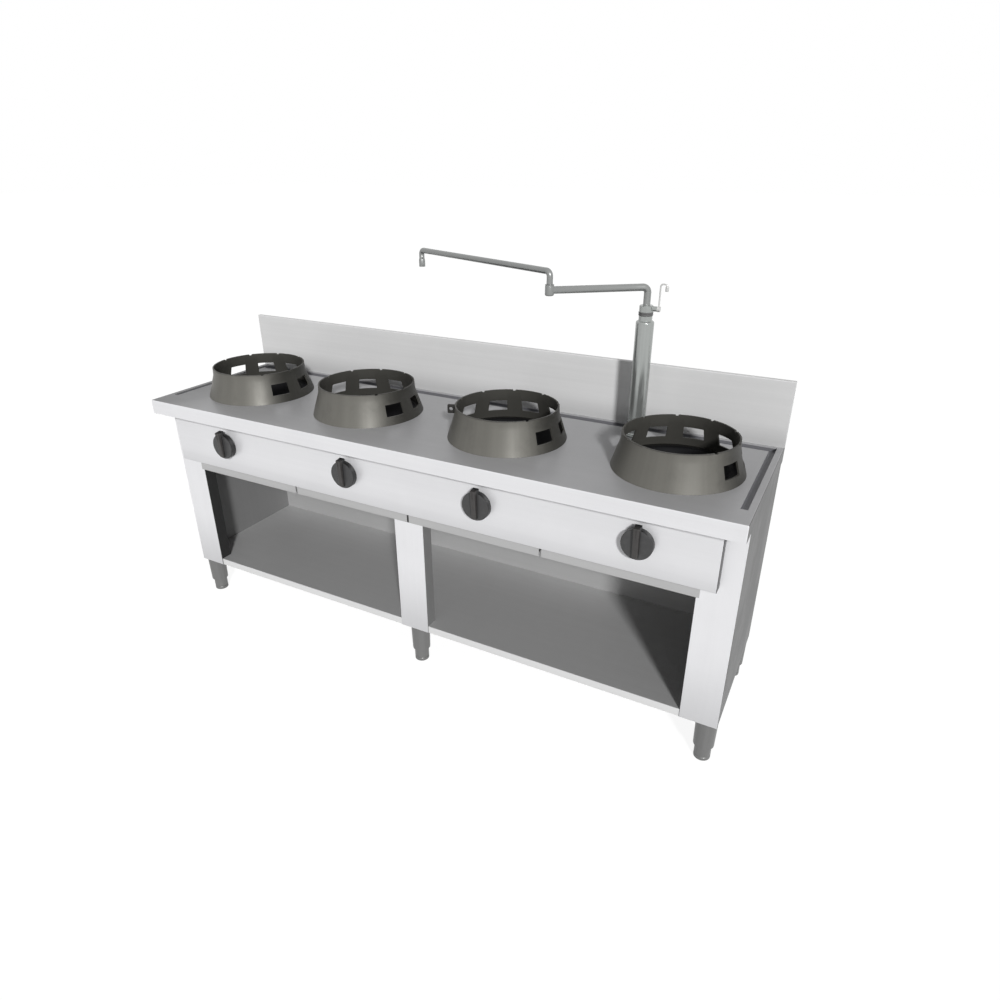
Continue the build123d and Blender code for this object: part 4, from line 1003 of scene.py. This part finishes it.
def bent_pipe(name, material, radius, bend, *corners):
    rule = Rule("bent_" + name, {"Pipe radius": "Float", "Bend radius": "Float"})
    route = rule.node("GeometryNodeMeshToCurve", {0: rule.given("Geometry")})
    bent = rule.node("GeometryNodeFilletCurve",
                     {"Curve": route, "Count": 14, "Radius": rule.given("Bend radius"),
                      "Limit Radius": True}, mode="POLY")
    section = rule.node("GeometryNodeCurvePrimitiveCircle",
                        {"Resolution": 40, "Radius": rule.given("Pipe radius")})
    skin = rule.node("GeometryNodeCurveToMesh",
                     {"Curve": bent, "Profile Curve": section, "Fill Caps": True})
    line = bpy.data.meshes.new(name)
    line.from_pydata(corners, [(index, index + 1) for index in range(len(corners) - 1)], [])
    pipe = rule.close(skin, material).run(name, {"Pipe radius": radius, "Bend radius": bend}, line)
    shape = bmesh.new()
    shape.from_mesh(pipe.data)
    bmesh.ops.remove_doubles(shape, verts=shape.verts, dist=PIPE_WELD)
    bmesh.ops.recalc_face_normals(shape, faces=shape.faces)
    shape.to_mesh(pipe.data)
    shape.free()
    return round_edges(pipe, 0.3 * MM)


column_low, column_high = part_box("water_column")
column_x, column_y = (column_low.x + column_high.x) / 2, (column_low.y + column_high.y) / 2
on_column = (column_x, column_y, 0)
column = turned_piece("column_tube", (
    outline(column_low.z, (0, 0), (10, 0))
    + outline(top_high.z, (10, 0), (38, 0), (38, 5), (36.5, 6), (30, 6), (28.6, 6.9),
              (27.7, 8.3), (27, 10))
    + outline(column_high.z - 15 * MM, (27, -5), (26, -2.4), (24, -0.7), (22, 0), (20, 0))
    + outline(column_high.z, (20, 0), (14.05, 0), (14.05, -40), (0, -40))), on_column)
round_edges(column, 0.5 * MM)
dress(column, "range", "satin_tube", tube_steel, "water_column")

seal_low, seal_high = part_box("swivel_seal")
seal = turned_piece("seal_rings", (
    outline(seal_low.z, (14.1, 0), (20.5, 0), (21.5, 1), (21.5, 4), (20.4, 4.7),
            (20.4, 6.3), (21.5, 7))
    + outline(seal_high.z, (21.5, -1), (20.5, 0), (14.1, 0))), on_column)
round_edges(seal, 0.2 * MM)
dress(seal, "lower_arm", "dark_seal", seal_rubber, "swivel_seal")

dress(rounded_copy("swivel_valve", 0.7 * MM), "lower_arm", "satin_tube", tube_steel,
      "swivel_valve")
dress(rounded_copy("lever", 0.5 * MM), "lever", "satin_tube", lever_steel, "lever")
print("column and valve ready")

# %% [markdown]
# The arms are two bent pipes. The lower one ends in a socket, and the riser of the upper
# one stands in it with a spigot, so the upper arm swings there. Its far end turns down
# into a spout sleeve, which is open below.

# %% Make the arms
ELBOW = (382 * MM, 3 * MM)
SPOUT = (-220 * MM, 265 * MM)
LOWER_R = 10.5 * MM
UPPER_R = 9 * MM
SLIDE_GAP = 0.3 * MM
valve_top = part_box("swivel_valve")[1].z
arm_low, arm_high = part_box("lower_arm")
arm_z = arm_low.z + 51 * MM
riser_z = arm_high.z + SLIDE_GAP
upper_z = arm_high.z + 35 * MM

lower_arm = bent_pipe("lower_arm_pipe", arm_steel, LOWER_R, 16 * MM,
                      (column_x, column_y, valve_top - 3 * MM), (column_x, column_y, arm_z),
                      (*ELBOW, arm_z))
socket = turned_piece("socket", (
    outline(arm_z, (0, -15), (11, -15), (13, -13))
    + outline(arm_high.z, (13, -4), (12.4, -3.4), (12.4, -2.6), (13, -2), (13, 0),
              (6.05, 0), (6.05, -20), (0, -20))), (*ELBOW, 0), 64)
round_edges(socket, 0.3 * MM)
cut(lower_arm, socket, "UNION")
dress(lower_arm, "lower_arm", "satin_tube", arm_steel, "lower_arm")

upper_arm = bent_pipe("upper_arm_pipe", arm_steel, UPPER_R, 14 * MM,
                      (*ELBOW, riser_z), (*ELBOW, upper_z),
                      (*SPOUT, upper_z), (*SPOUT, upper_z - 30 * MM))
sleeve = turned_piece("spout_sleeve", outline(
    upper_z - 54 * MM, (7.5, 0), (10.5, 0), (10.5, 24), (9.6, 26), (0, 26), (0, 22), (7.5, 22)),
    (*SPOUT, 0), 48)
round_edges(sleeve, 0.3 * MM)
cut(upper_arm, sleeve, "UNION")
spigot = turned_piece("spigot", outline(riser_z, (0, -18), (6, -18), (6, 1), (0, 1)),
                      (*ELBOW, 0), 48)
cut(upper_arm, spigot, "UNION")
dress(upper_arm, "upper_arm", "satin_tube", arm_steel, "upper_arm")
print("arms:", triangles(lower_arm), "and", triangles(upper_arm), "triangles")

# %% [markdown]
# ## Feet
# A foot has a sleeve that is welded under the shelf, and an adjusting foot that screws
# into it. The six sleeves are one piece, repeated by the rule. Each adjusting foot is a
# piece of its own, because it turns: a round pad with a waist and a threaded stud.

# %% Make the sleeves and the feet
foot_places = []
for number in range(1, 7):
    low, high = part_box("foot_" + str(number))
    spot = (low + high) / 2
    foot_places.append((spot.x, spot.y, 0.0))
sleeve_low, sleeve_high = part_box("foot_sleeves")
carcass = sleeve_high.z - 14 * MM
leg = turned_piece("leg", (
    outline(sleeve_low.z, (26.5, 0), (31, 0))
    + outline(carcass, (33, 0), (6, 0))
    + outline(sleeve_high.z, (6, 0), (0, 0))
    + outline(carcass, (0, -13), (8.05, -13), (8.05, -36), (26.5, -36))), steps=72)
round_edges(leg, 0.6 * MM)
legs = repeated("leg_sleeves", leg, foot_places, foot_steel)
dress(legs, "range", "foot_steel", foot_steel, "foot_sleeves")

for number, place in enumerate(foot_places, start=1):
    node = "foot_" + str(number)
    foot = turned_piece("adjusting_" + node, (
        outline(0.0, (0, 0), (23, 0), (25, 2), (25, 11), (23.6, 12.4), (23.6, 14), (25, 15.4),
                (25, 60), (8, 60))
        + outline(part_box(node)[1].z, (8, 0), (0, 0))), place, 72)
    round_edges(foot, 0.5 * MM)
    dress(foot, node, "foot_steel", foot_steel, node)
print("feet:", len(foot_places))

# %% [markdown]
# ## Screws
# The back panel is held by flat screws, and the column's flange by four more. A screw
# head is a low dome with a cross slot. The rule repeats it along rows of points, spaced
# by their count, so a row always ends where the sheet does.

# %% Make the screws
SLOT_HALF = 0.6 * MM
SCREW_INSET = 10 * MM
ROW_INSET = 160 * MM
FLANGE_SCREWS = 4
FLANGE_CIRCLE = 33.2 * MM


def screw_head(name, radius, height):
    head = turned_piece(name, [(0, -0.5 * MM), (radius, -0.5 * MM), (radius, height * 0.35),
                               (radius * 0.8, height * 0.8), (radius * 0.4, height),
                               (0, height)], steps=24)
    reach = radius * 0.55
    for wide, deep in ((reach, SLOT_HALF), (SLOT_HALF, reach)):
        cut(head, block("slot", box_corners((-wide, -deep, height * 0.3),
                                            (wide, deep, 2 * height))))
    return head


def row(start, end, count):
    return [Vector(start).lerp(Vector(end), index / (count - 1)) for index in range(count)]


back_low, back_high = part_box("back_panel")
behind = back_high.y
edge_x, low_z, high_z = back_high.x - SCREW_INSET, back_low.z + 12 * MM, back_high.z - 20 * MM
places = (row((-edge_x, behind, low_z), (-edge_x, behind, high_z), 6)
          + row((edge_x, behind, low_z), (edge_x, behind, high_z), 6)
          + row((-edge_x + ROW_INSET, behind, low_z), (edge_x - ROW_INSET, behind, low_z), 10))
screw = screw_head("screw", 5 * MM, 1.5 * MM)
screw.data.transform(Matrix.Rotation(radians(-90), 4, "X"))
back_screws = repeated("back_screws", screw, places, plated_steel)
dress(back_screws, "range", "plated_steel", plated_steel)
print("screws in the back:", len(places))

quarters = [radians(45 + 90 * step) for step in range(FLANGE_SCREWS)]
places = [(column_x + FLANGE_CIRCLE * cos(turn), column_y + FLANGE_CIRCLE * sin(turn),
           top_high.z + 6 * MM) for turn in quarters]
flange_screws = repeated("flange_screws", screw_head("small_screw", 2.6 * MM, 1.2 * MM),
                         places, plated_steel)
dress(flange_screws, "range", "plated_steel", plated_steel)
print("screws in the flange:", len(places))

# %% [markdown]
# ## Pieces that keep their solid
# Pipes, taps and brackets behind the panel already have the right shape, and stay. Each
# gets its finish by its material slot. The nodes themselves are never moved or changed.

# %% Finish the solids that stay
STAY = (
    (plated_steel, ("bezels", "gas_manifold", "manifold_brackets", "nuts", "spindle_1",
                    "spindle_2", "spindle_3", "spindle_4", "thermocouples")),
    (brass, ("feed_pipes", "gas_taps", "injectors", "pilots", "water_pipe")),
    (tube_steel, ("drain_pipe", "strainer")),
)
for material, names in STAY:
    for node in names:
        for slot in nodes[node].material_slots:
            slot.material = material
print("solids that stay:", sum(len(names) for material, names in STAY))

# %% [markdown]
# ## Stage and light
# The photograph has one soft light from the front right, low enough that the fronts are
# nearly white while the worktop stays mid grey. A sun lamp a few degrees wide does that,
# and an even sky fills the shadows. Floor and sky are white only where the camera or a
# reflection sees them, so the metal mirrors white under a plain level of light.

# %% Set the light and the floor
KEY_RIGHT = radians(37.7)
KEY_UP = radians(25.0)
KEY_WIDTH = radians(6.0)
KEY_LEVEL = 0.93
SKY_LEVEL = 0.22
FLOOR_TONE = 0.20
FLOOR_LIFT = 0.90
FLOOR_HALF = 40.0

lamp = bpy.data.lights.new("key_lamp", "SUN")
lamp.energy = pi * KEY_LEVEL
lamp.angle = KEY_WIDTH
key = new_object("key_lamp", lamp)
ray = Vector((-cos(KEY_UP) * sin(KEY_RIGHT), cos(KEY_UP) * cos(KEY_RIGHT), -sin(KEY_UP)))
key.rotation_euler = ray.to_track_quat("-Z", "Y").to_euler()


def seen_directly(finish):
    """1 for rays from the camera, a mirror or glass, 0 for light on its way."""
    camera_ray, glossy_ray, clear_ray = (
        finish.node("ShaderNodeLightPath", out="Is " + kind + " Ray")
        for kind in ("Camera", "Glossy", "Transmission"))
    return finish.node("ShaderNodeMath", {0: camera_ray + glossy_ray, 1: clear_ray},
                       operation="ADD", use_clamp=True)


bpy.context.scene.world = bpy.data.worlds.new("sky")
sky = Finish(bpy.context.scene.world)
strength = SKY_LEVEL + seen_directly(sky) * (1.0 - SKY_LEVEL)
light = sky.node("ShaderNodeBackground", {"Color": grey(1.0), "Strength": strength})
sky.node("ShaderNodeOutputWorld", {"Surface": light})

pale = new_finish("pale_floor")
matt = pale.node("ShaderNodeBsdfDiffuse", {"Color": grey(FLOOR_TONE)})
lift = pale.node("ShaderNodeEmission",
                 {"Color": grey(1.0), "Strength": seen_directly(pale) * FLOOR_LIFT})
both = pale.node("ShaderNodeAddShader", {0: matt, 1: lift})
pale.node("ShaderNodeOutputMaterial", {"Surface": both})
shape = bmesh.new()
bmesh.ops.create_grid(shape, x_segments=1, y_segments=1, size=FLOOR_HALF)
floor = to_piece("floor", shape)
floor.data.materials.append(pale.material)

bpy.context.scene.view_settings.view_transform = "Standard"
print("key lamp:", round(lamp.energy, 2), "floor ready")
